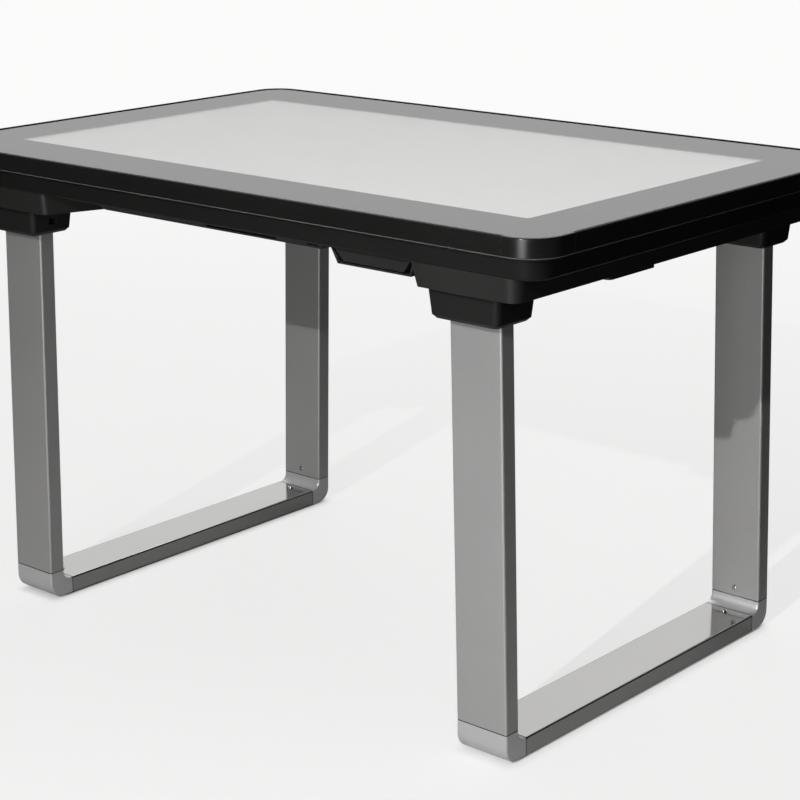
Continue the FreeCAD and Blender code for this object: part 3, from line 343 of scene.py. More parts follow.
@dataclass(frozen=True)
class Finish:
    """What every finish has: a name, and a way to make its material."""

    name: str

    def shade(self, sheet: NodeSheet) -> Node:
        """Fills the material's sheet and gives the finished shader."""
        raise NotImplementedError

    @cache
    def build(self) -> Material:
        """Makes the material once.

        Returns:
            The material.
        """
        material = bpy.data.materials.new(self.name)
        material.use_nodes = True
        sheet = NodeSheet(material.node_tree)
        sheet.add("OutputMaterial", Surface=self.shade(sheet))
        return material


@dataclass(frozen=True)
class MouldedPlastic(Finish):
    """Black moulded plastic with a fine grain, and a highlight painted on its edges as a paler colour."""

    colour: Colour
    # The paler colour painted on the edges as their highlight.
    edge_highlight_colour: Colour
    roughness: float
    spread: float = 0.05
    specular: float = 0.5
    grain_scale: float = 1500.0
    grain_depth: float = 0.00003
    grain_strength: float = 0.35
    edge_radius: float = 0.0007
    edge_highlight_gain: float = 2.5
    tone_share: float = 0.2
    cloud_scale: float = 11.0

    def shade(self, sheet: NodeSheet) -> Node:
        """Fills the material's sheet.

        Args:
            sheet: The sheet of the material.

        Returns:
            The finished shader.
        """
        place = sheet.place()
        edge = sheet.group(EFFECTS.soft_edge_and_highlight(), Radius=self.edge_radius, Gain=self.edge_highlight_gain)
        grain = sheet.group(EFFECTS.moulded_grain(), Vector=place, Scale=self.grain_scale)
        touch = sheet.group(EFFECTS.handling(), Vector=place, Scale=self.cloud_scale,
                            Low=self.roughness - self.spread, High=self.roughness + self.spread)
        tone = sheet.blend(grain.outputs["Tone"], opaque(self.colour, 1.0 - self.tone_share),
                           opaque(self.colour, 1.0 + self.tone_share))
        # Painted highlight: the edge mask turns the colour to the paler edge colour.
        colour = sheet.blend(edge.outputs["Mask"], tone, opaque(self.edge_highlight_colour))
        bump = sheet.add("Bump", Strength=self.grain_strength, Distance=self.grain_depth, Height=grain,
                         Normal=edge)
        colour, rough = self.vary(sheet, place, colour, touch)
        return sheet.add("BsdfPrincipled", Base_Color=colour, Roughness=rough,
                         Specular_IOR_Level=self.specular, Normal=bump)

    def vary(self, sheet: NodeSheet, place: NodeSocket, colour: NodeSocket,
             rough: Node) -> tuple[NodeSocket, Node]:
        """Changes the finish from place to place. Most mouldings are the same all over."""
        return colour, rough


@dataclass(frozen=True)
class RailPlastic(MouldedPlastic):
    """Black plastic of the rails: matt on the rim beside the glass, with a highlight painted on the lower
    edge as a paler band.
    """

    top_level: float = 1.0
    rim_level: float = 0.5160
    rim_roughness: float = 0.7
    # Painted highlight: below this level the rail's lower edge is made paler, for the light it reflects.
    painted_highlight_level: float = 0.4988
    painted_highlight_colour: Colour = (0.1, 0.1, 0.1)

    def vary(self, sheet: NodeSheet, place: NodeSocket, colour: NodeSocket,
             rough: Node) -> tuple[NodeSocket, Node]:
        """Adds the matt rim and the highlight painted on the lower edge.

        Args:
            sheet: The sheet of the material.
            place: The place on the piece.
            colour: The colour so far.
            rough: The roughness so far.

        Returns:
            The colour and the roughness.
        """
        rim = sheet.group(EFFECTS.level_band(), Vector=place, Low=self.rim_level, High=self.top_level)
        highlight_band = sheet.group(EFFECTS.level_band(), Vector=place, Low=0.0, High=self.painted_highlight_level)
        matt = sheet.maths("MULTIPLY", rim, self.rim_roughness)
        # Painted highlight band on the lower edge.
        highlighted = sheet.blend(highlight_band, colour, opaque(self.painted_highlight_colour))
        return highlighted, sheet.maths("MAXIMUM", rough, matt)


@dataclass(frozen=True)
class SilverPaint(Finish):
    """Silver with fine flake, satin or polished, and a dark line where a tube meets a foot corner."""

    colour: Colour
    roughness: float
    metallic: float
    spread: float = 0.04
    flake_scale: float = 2600.0
    flake_share: float = 0.12
    flake_strength: float = 0.08
    flake_depth: float = 0.00002
    cloud_scale: float = 7.0
    coat: float = 0.0
    coat_roughness: float = 0.08
    edge_radius: float = 0.0005
    joint_rise: float = 0.0322
    joint_run: float = 0.1983
    joint_width: float = 0.0009
    joint_colour: Colour = (0.015, 0.015, 0.015)

    def shade(self, sheet: NodeSheet) -> Node:
        """Fills the material's sheet.

        Args:
            sheet: The sheet of the material.

        Returns:
            The finished shader.
        """
        place = sheet.place()
        edge = sheet.group(EFFECTS.soft_edge_and_highlight(), Radius=self.edge_radius)
        flake = sheet.group(EFFECTS.metal_flake(), Vector=place, Scale=self.flake_scale)
        touch = sheet.group(EFFECTS.handling(), Vector=place, Scale=self.cloud_scale,
                            Low=self.roughness - self.spread, High=self.roughness + self.spread)
        joint = sheet.group(EFFECTS.joint_line(), Vector=place, Rise=self.joint_rise, Run=self.joint_run,
                            Width=self.joint_width)
        tone = sheet.blend(flake, opaque(self.colour, 1.0 - self.flake_share),
                           opaque(self.colour, 1.0 + self.flake_share))
        colour = sheet.blend(joint, tone, opaque(self.joint_colour))
        bump = sheet.add("Bump", Strength=self.flake_strength, Distance=self.flake_depth, Height=flake,
                         Normal=edge)
        return sheet.add("BsdfPrincipled", Base_Color=colour, Metallic=self.metallic, Coat_Weight=self.coat,
                         Coat_Roughness=self.coat_roughness, Roughness=touch, Normal=bump)


@dataclass(frozen=True)
class BareMetal(Finish):
    """Bare metal with fine lines."""

    colour: Colour
    roughness: float
    stretch: Point = (900.0, 900.0, 60.0)
    dark_share: float = 0.82
    light_share: float = 1.1
    spread: float = 0.08

    def shade(self, sheet: NodeSheet) -> Node:
        """Fills the material's sheet.

        Args:
            sheet: The sheet of the material.

        Returns:
            The finished shader.
        """
        place = sheet.place()
        lines = sheet.group(EFFECTS.draw_lines(), Vector=place, Stretch=self.stretch)
        colour = sheet.blend(lines, opaque(self.colour, self.dark_share),
                             opaque(self.colour, self.light_share))
        rough = sheet.add("MapRange", Value=lines, To_Min=self.roughness - self.spread,
                          To_Max=self.roughness + self.spread)
        return sheet.add("BsdfPrincipled", Base_Color=colour, Metallic=1.0, Roughness=rough)


@dataclass(frozen=True)
class ClearGlass(Finish):
    """Clear cover glass with faint wiping marks."""

    tint: Colour = (0.985, 0.988, 0.985)
    roughness: float = 0.025
    index: float = 1.5
    cloud_scale: float = 9.0

    def shade(self, sheet: NodeSheet) -> Node:
        """Fills the material's sheet. Light for what lies below passes straight through.

        Args:
            sheet: The sheet of the material.

        Returns:
            The finished shader.
        """
        place = sheet.place()
        touch = sheet.group(EFFECTS.handling(), Vector=place, Scale=self.cloud_scale, Low=0.0,
                            High=2.0 * self.roughness)
        glass = sheet.add("BsdfPrincipled", Base_Color=opaque(self.tint), IOR=self.index,
                          Transmission_Weight=1.0, Roughness=touch)
        clear = sheet.add("BsdfTransparent", Color=opaque(self.tint))
        path = sheet.add("LightPath")
        lamp = sheet.maths("MAXIMUM", path.outputs["Is Shadow Ray"], path.outputs["Is Diffuse Ray"])
        return sheet.either(lamp, glass, clear)


@dataclass(frozen=True)
class PrintedInk(Finish):
    """Ink printed on the back of the glass."""

    colour: Colour
    roughness: float = 0.5
    specular: float = 0.2
    dot_scale: float = 3000.0
    tone_share: float = 0.1

    def shade(self, sheet: NodeSheet) -> Node:
        """Fills the material's sheet.

        Args:
            sheet: The sheet of the material.

        Returns:
            The finished shader.
        """
        place = sheet.place()
        dots = sheet.group(EFFECTS.moulded_grain(), Vector=place, Scale=self.dot_scale)
        colour = sheet.blend(dots.outputs["Tone"], opaque(self.colour, 1.0 - self.tone_share),
                             opaque(self.colour, 1.0 + self.tone_share))
        return sheet.add("BsdfPrincipled", Base_Color=colour, Roughness=self.roughness,
                         Specular_IOR_Level=self.specular)


@dataclass(frozen=True)
class DisplayFace(Finish):
    """The pale matt face of the display, with its fine rows of dots."""

    colour: Colour
    pitch: float = 0.000364
    gap: float = 0.1
    dot_share: float = 0.985
    gap_share: float = 0.9
    cloud_scale: float = 3.0
    cloud_strength: float = 0.12
    cloud_share: float = 0.8
    roughness: float = 0.45
    specular: float = 0.25

    def shade(self, sheet: NodeSheet) -> Node:
        """Fills the material's sheet.

        Args:
            sheet: The sheet of the material.

        Returns:
            The finished shader.
        """
        place = sheet.place()
        dots = sheet.add("TexBrick", {"offset": 0.0}, Vector=place, Scale=1.0,
                         Mortar_Size=self.gap * self.pitch, Brick_Width=self.pitch, Row_Height=self.pitch,
                         Color1=opaque(self.colour), Color2=opaque(self.colour, self.dot_share),
                         Mortar=opaque(self.colour, self.gap_share))
        cloud = sheet.add("TexNoise", Vector=place, Scale=self.cloud_scale, Detail=2.0)
        share = sheet.maths("MULTIPLY", cloud, self.cloud_strength)
        colour = sheet.blend(share, dots, opaque(self.colour, self.cloud_share))
        return sheet.add("BsdfPrincipled", Base_Color=colour, Roughness=self.roughness,
                         Specular_IOR_Level=self.specular)


@dataclass(frozen=True)
class SoftRubber(Finish):
    """Matt black rubber or foam with a dusty grain."""

    colour: Colour
    grain_scale: float = 700.0
    grain_strength: float = 0.5
    grain_depth: float = 0.0001
    dark_share: float = 0.7
    light_share: float = 1.2
    roughness: float = 0.85
    specular: float = 0.3

    def shade(self, sheet: NodeSheet) -> Node:
        """Fills the material's sheet.

        Args:
            sheet: The sheet of the material.

        Returns:
            The finished shader.
        """
        place = sheet.place()
        grain = sheet.group(EFFECTS.moulded_grain(), Vector=place, Scale=self.grain_scale)
        colour = sheet.blend(grain, opaque(self.colour, self.dark_share),
                             opaque(self.colour, self.light_share))
        bump = sheet.add("Bump", Strength=self.grain_strength, Distance=self.grain_depth, Height=grain)
        return sheet.add("BsdfPrincipled", Base_Color=colour, Roughness=self.roughness,
                         Specular_IOR_Level=self.specular, Normal=bump)


@dataclass(frozen=True)
class CircuitBoard(Finish):
    """Green solder mask over copper tracks."""

    mask: Colour = (0.012, 0.09, 0.035)
    track: Colour = (0.03, 0.17, 0.06)
    track_scale: float = 160.0
    track_width: float = 0.06
    track_strength: float = 0.3
    track_depth: float = 0.00004
    roughness: float = 0.32

    def shade(self, sheet: NodeSheet) -> Node:
        """Fills the material's sheet.

        Args:
            sheet: The sheet of the material.

        Returns:
            The finished shader.
        """
        place = sheet.place()
        tracks = sheet.add("TexVoronoi", {"feature": "DISTANCE_TO_EDGE"}, Vector=place,
                           Scale=self.track_scale)
        lines = sheet.maths("LESS_THAN", tracks, self.track_width)
        colour = sheet.blend(lines, opaque(self.mask), opaque(self.track))
        bump = sheet.add("Bump", Strength=self.track_strength, Distance=self.track_depth, Height=lines)
        return sheet.add("BsdfPrincipled", Base_Color=colour, Roughness=self.roughness, Normal=bump)


class Finishes(Enum):
    """The finishes of the table."""

    # The second colour of each moulding is the highlight painted on its edges.
    FRAME = RailPlastic("frame_satin_black", (0.0092, 0.0090, 0.0087), (0.02, 0.02, 0.02), 0.24,
                        specular=0.45, grain_depth=0.00001, grain_strength=0.1, edge_radius=0.0004)
    CAP = replace(FRAME, name="cap_satin_black", rim_roughness=0.0)
    HOUSING = MouldedPlastic("housing_grained_black", (0.0085, 0.0083, 0.0081), (0.02, 0.02, 0.02), 0.4,
                             specular=0.2)
    BEAM = MouldedPlastic("beam_grained_black", (0.0165, 0.0162, 0.0157), (0.036, 0.036, 0.036), 0.42,
                          specular=0.35)
    SOCKET = MouldedPlastic("socket_grained_black", (0.0115, 0.0113, 0.011), (0.03, 0.03, 0.03), 0.4,
                            specular=0.27, edge_radius=0.0009)
    KEY = MouldedPlastic("key_satin_black", (0.012, 0.012, 0.0125), (0.04, 0.04, 0.04), 0.42,
                         edge_radius=0.0003)
    MARK = MouldedPlastic("key_mark_grey", (0.32, 0.32, 0.32), (0.4, 0.4, 0.4), 0.5, edge_radius=0.0001)
    SPEAKER = MouldedPlastic("speaker_box_black", (0.012, 0.012, 0.012), (0.03, 0.03, 0.03), 0.6)
    LENS = MouldedPlastic("smoked_lens", (0.012, 0.006, 0.006), (0.03, 0.02, 0.02), 0.12, specular=0.6,
                          grain_depth=0.000005, grain_strength=0.05)
    GLASS = ClearGlass("cover_glass_clear")
    INK = PrintedInk("border_ink_black", (0.008, 0.008, 0.008))
    DISPLAY = DisplayFace("display_pale", (0.8, 0.791, 0.78))
    DIFFUSER = DisplayFace("diffuser_milky", (0.8, 0.8, 0.8), 0.0015)
    LEG = SilverPaint("leg_satin_silver", (0.40, 0.396, 0.391), 0.5, 0.6, coat=0.3)
    BAR = SilverPaint("bar_polished_silver", (0.46, 0.456, 0.45), 0.11, 0.97, flake_share=0.04)
    CAST = SilverPaint("foot_corner_silver", (0.57, 0.573, 0.575), 0.45, 0.6, flake_share=0.06, coat=0.3)
    STEEL = BareMetal("screw_bright_steel", (0.82, 0.82, 0.82), 0.17)
    TRAY = BareMetal("tray_bare_sheet", (0.6, 0.61, 0.62), 0.4, (40.0, 700.0, 700.0))
    STRIP = SoftRubber("strip_black_rubber", (0.02, 0.02, 0.02))
    FOAM = SoftRubber("gasket_black_foam", (0.014, 0.014, 0.014), 1400.0)
    BOARD = CircuitBoard("board_green_mask")


@dataclass
class SubAssembly:
    """A group of pieces that are built and dressed together."""

    def build(self) -> None:
        """Makes the pieces that the solids lack. A group with none makes nothing."""

    def dress(self) -> None:
        """Gives every solid of the group its finish."""
        raise NotImplementedError

    def coat(self, finish: Finishes, names: Iterable[str]) -> None:
        """Puts a finish on solids.

        Args:
            finish: The finish.
            names: The solids' names.
        """
        for name in names:
            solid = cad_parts[name]
            solid.data.materials.clear()
            solid.data.materials.append(finish.value.build())
            LOG.info("%s: %s", name, finish.value.name)

    def publish(self, shape: BMesh, name: str, finish: Finishes, slot: str, body: str = TABLE_BODY,
                smooth_below: float = 40.0) -> Object:
        """Turns a shape into a piece that moves with a body.

        Args:
            shape: The shape, which is freed.
            name: The piece's name.
            finish: Its finish.
            slot: The record's material slot; not used.
            body: The body that it moves with.
            smooth_below: Edges that turn by less than this many degrees look smooth.

        Returns:
            The new piece.
        """
        piece = stand(shape, name, finish.value.build())
        mesh = piece.data
        mesh.polygons.foreach_set("use_smooth", [True] * len(mesh.polygons))
        mesh.set_sharp_from_angle(angle=math.radians(smooth_below))
        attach(piece, body)
        LOG.info("%s: %d faces, %s", name, len(mesh.polygons), finish.value.name)
        return piece


@dataclass
class TopFrame(SubAssembly):
    """The black rails and corner caps round the glass."""

    def dress(self) -> None:
        """Gives every solid of the group its finish."""
        rails = [f"{end}_rail" for end in ENDS] + [f"{side}_rail" for side in SIDES]
        caps = [f"corner_cap_{end}_{side}" for end in ENDS for side in SIDES]
        self.coat(Finishes.FRAME, rails)
        self.coat(Finishes.CAP, caps)


@dataclass
class ScreenStack(SubAssembly):
    """The cover glass with its printed border, and the display below it."""

    print_length: float = 0.8328
    print_width: float = 0.5428
    corner_radius: float = 0.0289
    corner_steps: int = 10
    window_length: float = 0.6984
    window_width: float = 0.3929
    print_level: float = 0.5118
    print_thickness: float = 0.00004

    def build(self) -> None:
        """Makes the printed border as a thin sheet inside the underside of the glass."""
        shape = bmesh.new()
        outer = rectangle(shape, Matrix(), self.print_length, self.print_width)
        bmesh.ops.bevel(shape, geom=outer, offset=self.corner_radius, offset_type="OFFSET",
                        affect="VERTICES", segments=self.corner_steps, profile=0.5, material=-1)
        bmesh.ops.delete(shape, geom=shape.faces[:], context="FACES_ONLY")
        inner = rectangle(shape, Matrix(), self.window_length, self.window_width)
        bmesh.ops.delete(shape, geom=inner[0].link_faces[:], context="FACES_ONLY")
        ring = bmesh.ops.bridge_loops(shape, edges=shape.edges[:])["faces"]
        bmesh.ops.recalc_face_normals(shape, faces=ring)
        bmesh.ops.solidify(shape, geom=ring, thickness=self.print_thickness)
        bmesh.ops.translate(shape, vec=(0.0, 0.0, self.print_level), verts=shape.verts[:])
        self.publish(shape, "glass_print", Finishes.INK, "cover_glass")

    def dress(self) -> None:
        """Gives every solid of the group its finish."""
        self.coat(Finishes.GLASS, ["cover_glass"])
        self.coat(Finishes.FOAM, ["panel_gasket"])
        self.coat(Finishes.DISPLAY, ["lcd_panel"])
        self.coat(Finishes.DIFFUSER, ["diffuser_plate"])
        self.coat(Finishes.TRAY, ["backlight_tray"])


@dataclass
class LowerHousing(SubAssembly):
    """The drafted tray under the frame, with the port hood and what is inside."""

    def dress(self) -> None:
        """Gives every solid of the group its finish."""
        self.coat(Finishes.HOUSING, ["lower_housing"])
        self.coat(Finishes.BEAM, ["port_hood", "port_plate"])
        self.coat(Finishes.LENS, ["status_window"])
        self.coat(Finishes.SPEAKER, ["speaker_box", "power_inlet"])
        self.coat(Finishes.BOARD, ["main_board", "driver_board", "control_board"])


class KeyMark(Enum):
    """What is moulded on a key."""

    POWER = "power"
    LESS = "volume_down"
    MORE = "volume_up"


@dataclass
class KeyRow(SubAssembly):
    """The three keys under the front edge and the marks on them."""

    mark_reach: float = 0.0026
    mark_width: float = 0.0008
    mark_height: float = 0.0002
    mark_round: float = 0.00004
    mark_sink: float = 0.00006
    ring_gap: float = 70.0
    ring_steps: int = 28

    def _bar(self, shape: BMesh, place: Matrix, length: float) -> None:
        """Adds a raised bar.

        Args:
            shape: The shape to add it to.
            place: Where it goes.
            length: Its length.
        """
        size = Matrix.Diagonal((length, self.mark_width, self.mark_height, 1.0))
        made = bmesh.ops.create_cube(shape, size=1.0, matrix=place @ size)["verts"]
        bmesh.ops.bevel(shape, geom=edges_at(made), offset=self.mark_round, offset_type="OFFSET",
                        affect="EDGES", segments=1, profile=0.5, material=-1)

    def _ring(self, shape: BMesh, place: Matrix) -> None:
        """Adds a raised ring that is open at the top.

        Args:
            shape: The shape to add it to.
            place: Where its middle goes.
        """
        start = math.radians(90.0 + self.ring_gap / 2)
        upright = Matrix.Rotation(math.radians(90.0), 4, "X")
        section = place @ Matrix.Rotation(start, 4, "Z") @ Matrix.Translation((self.mark_reach, 0.0, 0.0))
        made = rectangle(shape, section @ upright, self.mark_width, self.mark_height)
        bmesh.ops.spin(shape, geom=made + edges_at(made) + made[0].link_faces[:], cent=place.translation,
                       axis=(0.0, 0.0, 1.0), angle=math.radians(360.0 - self.ring_gap),
                       steps=self.ring_steps)

    def build(self) -> None:
        """Makes the raised marks on the keys."""
        for mark in KeyMark:
            body = f"{mark.value}_key"
            low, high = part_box(f"{mark.value}_button")
            middle = (low + high) / 2
            place = Matrix.Translation((middle.x, middle.y, low.z + self.mark_sink))
            shape = bmesh.new()
            if mark is KeyMark.POWER:
                self._ring(shape, place)
                upward = place @ Matrix.Translation((0.0, self.mark_reach, 0.0))
                self._bar(shape, upward @ Matrix.Rotation(math.radians(90.0), 4, "Z"), self.mark_reach)
            else:
                self._bar(shape, place, 2 * self.mark_reach)
            if mark is KeyMark.MORE:
                self._bar(shape, place @ Matrix.Rotation(math.radians(90.0), 4, "Z"), 2 * self.mark_reach)
            bmesh.ops.recalc_face_normals(shape, faces=shape.faces[:])
            self.publish(shape, f"{mark.value}_mark", Finishes.MARK, "key_black", body)

    def dress(self) -> None:
        """Gives every solid of the group its finish."""
        self.coat(Finishes.KEY, [f"{mark.value}_button" for mark in KeyMark])


@dataclass
class Beams(SubAssembly):
    """The moulded beams under the ends, their plates and the leg sockets."""

    def dress(self) -> None:
        """Gives every solid of the group its finish."""
        self.coat(Finishes.BEAM, [f"{side}_beam" for side in SIDES])
        self.coat(Finishes.BEAM, [f"{side}_beam_plate" for side in SIDES])
        self.coat(Finishes.SOCKET, [f"socket_{end}_{side}" for end in ENDS for side in SIDES])


@dataclass
class LegLoops(SubAssembly):
    """The two loops of flat tube with their cast foot corners."""

    def dress(self) -> None:
        """Gives every solid of the group its finish."""
        self.coat(Finishes.LEG, [f"post_{end}_{side}" for end in ENDS for side in SIDES])
        self.coat(Finishes.BAR, [f"floor_bar_{side}" for side in SIDES])
        self.coat(Finishes.CAST, [f"foot_corner_{end}_{side}" for end in ENDS for side in SIDES])
        self.coat(Finishes.STRIP, [f"foot_strip_{side}" for side in SIDES])


@dataclass(frozen=True)
class ButtonScrew:
    """A screw with a domed head and a six-sided socket."""

    head_radius: float
    head_height: float
    shank_radius: float
    shank_length: float
    rim_steps: int = 24
    socket_sides: int = 6
    socket_share: float = 0.45
    socket_depth: float = 0.6
    flat_share: float = 0.62
    dome: tuple[tuple[float, float], ...] = ((0.84, 0.9), (0.96, 0.66), (1.0, 0.4), (1.0, 0.0))

    def make(self) -> BMesh:
        """Makes the screw, seated at the origin with its head up.

        Returns:
            The screw's shape.
        """
        shape = bmesh.new()
        top = Matrix.Translation((0.0, 0.0, self.head_height))
        reach = self.flat_share * self.head_radius
        level = self.head_height
        socket = bmesh.ops.create_circle(shape, segments=self.socket_sides, cap_ends=False, matrix=top,
                                         radius=self.socket_share * self.head_radius)["verts"]
        rim = bmesh.ops.create_circle(shape, segments=self.rim_steps, radius=reach, cap_ends=False,
                                      matrix=top)["verts"]
        socket_edges = edges_at(socket)
        rim_edges = edges_at(rim)
        bmesh.ops.bridge_loops(shape, edges=socket_edges + rim_edges)
        floor = self._pull(shape, socket_edges, 1.0, -self.socket_depth * self.head_height)
        bmesh.ops.edgeloop_fill(shape, edges=floor)
        steps = [(share * self.head_radius, rise * self.head_height) for share, rise in self.dome]
        steps += [(self.shank_radius, 0.0), (self.shank_radius, -self.shank_length)]
        for radius, height in steps:
            rim_edges = self._pull(shape, rim_edges, radius / reach, height - level)
            reach, level = radius, height
        bmesh.ops.edgeloop_fill(shape, edges=rim_edges)
        bmesh.ops.recalc_face_normals(shape, faces=shape.faces[:])
        return shape

    @staticmethod
    def _pull(shape: BMesh, edges: list[BMEdge], scale: float, rise: float) -> list[BMEdge]:
        """Draws a loop out into a new loop.

        Args:
            shape: The shape.
            edges: The loop.
            scale: How much wider the new loop is.
            rise: How much higher it is.

        Returns:
            The new loop.
        """
        drawn = bmesh.ops.extrude_edge_only(shape, edges=edges)["geom"]
        verts = [part for part in drawn if isinstance(part, BMVert)]
        bmesh.ops.scale(shape, vec=(scale, scale, 1.0), verts=verts)
        bmesh.ops.translate(shape, vec=(0.0, 0.0, rise), verts=verts)
        return [part for part in drawn if isinstance(part, BMEdge)]

    def group(self, places: Iterable[tuple[Point, Point]]) -> BMesh:
        """Makes a set of these screws.

        Args:
            places: Each screw's seat and the way that its head faces.

        Returns:
            One shape with all the screws.
        """
        shape = self.make()
        pattern = shape.verts[:] + shape.edges[:] + shape.faces[:]
        for seat, facing in places:
            copied = bmesh.ops.duplicate(shape, geom=pattern)["geom"]
            verts = [part for part in copied if isinstance(part, BMVert)]
            turn = Vector((0.0, 0.0, 1.0)).rotation_difference(Vector(facing)).to_matrix().to_4x4()
            bmesh.ops.transform(shape, matrix=Matrix.Translation(seat) @ turn, verts=verts)
        bmesh.ops.delete(shape, geom=[part for part in pattern if isinstance(part, BMVert)],
                         context="VERTS")
        return shape


@dataclass
class Fasteners(SubAssembly):
    """The screws and bolts. Those that show get a socket in the head."""

    leg_middle: float = 0.32435
    leg_inner: float = 0.2852
    leg_lean: float = 0.02323
    post_middle: float = 0.2193
    post_inner: float = 0.2098
    post_screw_level: float = 0.0415
    bar_screw_reach: float = 0.1890
    bar_top: float = 0.0205
    lock_level: float = 0.4367
    socket_middle: float = 0.31496
    bolt_level: float = 0.4273
    bolt_offset: float = 0.0142
    foot_screw: ButtonScrew = ButtonScrew(0.0033, 0.0020, 0.0016, 0.009)
    socket_bolt: ButtonScrew = ButtonScrew(0.0034, 0.0036, 0.0020, 0.0402)

    def build(self) -> None:
        """Makes the screws that show on the foot corners, in the socket windows and under the sockets."""
        corners: list[tuple[Point, Point]] = []
        locks: list[tuple[Point, Point]] = []
        bolts: list[tuple[Point, Point]] = []
        for side in SIDES.values():
            for end in ENDS.values():
                middle = side * self.leg_middle
                corners.append(((middle, end * self.post_inner, self.post_screw_level), (0.0, -end, 0.0)))
                corners.append(((middle, end * self.bar_screw_reach, self.bar_top), (0.0, 0.0, 1.0)))
                locks.append(((side * self.leg_inner, end * self.post_middle, self.lock_level),
                              (-side, 0.0, -self.leg_lean)))
                for share in (-1, 1):
                    across = end * (self.post_middle + share * self.bolt_offset)
                    bolts.append(((side * self.socket_middle, across, self.bolt_level), (0.0, 0.0, -1.0)))
        for node, screw, places in (("corner_screws", self.foot_screw, corners),
                                    ("post_lock_screws", self.foot_screw, locks),
                                    ("socket_bolts", self.socket_bolt, bolts)):
            piece = self.publish(screw.group(places), f"{node}_socket_head", Finishes.STEEL, "screw_steel")
            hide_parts(node)

    def dress(self) -> None:
        """Gives every solid of the group its finish."""
        self.coat(Finishes.STEEL, ["corner_screws", "post_lock_screws", "socket_bolts", "frame_screws",
                                   "beam_screws"])


@dataclass(frozen=True)
class Softbox:
    """A studio lamp with a soft face, and a grid where its spread is less than half a turn."""

    name: str
    place: Point
    target: Point
    width: float
    height: float
    watts: float
    spread: float = 180.0

    def build(self) -> None:
        """Puts the lamp in the studio."""
        data = bpy.data.lights.new(self.name, "AREA")
        data.shape = "RECTANGLE"
        data.size = self.width
        data.size_y = self.height
        data.energy = self.watts
        data.spread = math.radians(self.spread)
        lamp = bpy.data.objects.new(self.name, data)
        lamp.location = self.place
        lamp.rotation_euler = (Vector(self.target) - Vector(self.place)).to_track_quat("-Z", "Y").to_euler()
        bpy.context.scene.collection.objects.link(lamp)
        LOG.info("%s: %.1f W", self.name, self.watts)


@dataclass(frozen=True)
class PaleFloor(Finish):
    """The studio's floor: nearly white to look at, throwing light back only in a pool round the table that
    is painted into its colour.
    """

    colour: Colour = (0.95, 0.947, 0.94)
    bounce: float = 0.48
    pool_middle: Point = (0.0, -0.45, 0.0)
    pool_inner: float = 0.4
    pool_outer: float = 1.3
    pool_edge: float = 0.04
    seen_near: float = 0.75
    seen_far: float = 1.0
    near_reach: float = 0.5
    far_reach: float = 3.5
    contact_reach: float = 0.012

    def shade(self, sheet: NodeSheet) -> Node:
        """Fills the material's sheet. The table's shadow stays, darkest where the bars touch down.

        Args:
            sheet: The sheet of the material.

        Returns:
            The finished shader.
        """
        place = sheet.place()
        reach = sheet.vectors("DISTANCE", place, self.pool_middle).outputs["Value"]
        paleness = sheet.add("MapRange", Value=reach, From_Min=self.near_reach, From_Max=self.far_reach,
                             To_Min=self.seen_near, To_Max=self.seen_far)
        # Painted pool of light: the floor's colour for all but camera rays is paler near the table and
        # fades to nearly black further out.
        pool = sheet.add("MapRange", {"interpolation_type": "SMOOTHSTEP"}, Value=reach,
                         From_Min=self.pool_inner, From_Max=self.pool_outer, To_Min=1.0,
                         To_Max=self.pool_edge)
        shown = sheet.add("LightPath").outputs["Is Camera Ray"]
        clear = sheet.add("AmbientOcclusion", Distance=self.contact_reach).outputs["AO"]
        bounce = sheet.maths("MULTIPLY", pool, self.bounce)
        colour = sheet.blend(sheet.maths("MAXIMUM", bounce, shown), opaque(BLACK), opaque(self.colour))
        lit = sheet.add("BsdfDiffuse", Color=colour)
        glow = sheet.add("Emission", Color=opaque(SEEN_COLOUR), Strength=1.0)
        share = sheet.maths("MULTIPLY", sheet.maths("MULTIPLY", shown, clear), paleness)
        return sheet.either(share, lit, glow)


@dataclass(frozen=True)
class FlagCloth(Finish):
    """The black cloth of a studio flag."""

    colour: Colour = (0.004, 0.004, 0.004)

    def shade(self, sheet: NodeSheet) -> Node:
        """Fills the material's sheet and gives the finished shader."""
        return sheet.add("BsdfDiffuse", Color=opaque(self.colour))


@dataclass(frozen=True)
class Backdrop:
    """The even light of the room, and the pale backdrop that the camera and the mirrors see."""

    ambient: float = 0.22
    way: Point = (-0.66, 0.72, 0.2)
    inner: float = 0.8
    outer: float = 0.35
    dark_level: float = 0.05
    foot_height: float = 0.05
    foot_level: float = 0.45
    head_height: float = 0.25
    head_level: float = 1.1

    def build(self) -> None:
        """Hangs the backdrop. It is brighter higher up, and the room is dark beside it."""
        world = bpy.data.worlds.new("studio_room")
        world.use_nodes = True
        bpy.context.scene.world = world
        sheet = NodeSheet(world.node_tree)
        look = sheet.add("TexCoord").outputs["Generated"]
        along = sheet.vectors("DOT_PRODUCT", look, Vector(self.way).normalized())
        height = sheet.add("SeparateXYZ", Vector=look).outputs["Z"]
        wall = sheet.add("MapRange", Value=height, From_Min=self.foot_height, From_Max=self.head_height,
                         To_Min=self.foot_level, To_Max=self.head_level)
        level = sheet.add("MapRange", {"interpolation_type": "SMOOTHSTEP"}, Value=along.outputs["Value"],
                          From_Min=self.outer, From_Max=self.inner, To_Min=self.dark_level, To_Max=wall)
        path = sheet.add("LightPath")
        mirror = sheet.maths("MAXIMUM", path.outputs["Is Glossy Ray"], path.outputs["Is Transmission Ray"])
        room = sheet.add("Background", Color=opaque(WHITE), Strength=self.ambient)
        mirrored = sheet.add("Background", Color=opaque(SEEN_COLOUR), Strength=level)
        shown = sheet.add("Background", Color=opaque(SEEN_COLOUR), Strength=1.0)
        lit = sheet.either(mirror, room, mirrored)
        seen = sheet.either(path.outputs["Is Camera Ray"], lit, shown)
        sheet.add("OutputWorld", Surface=seen)


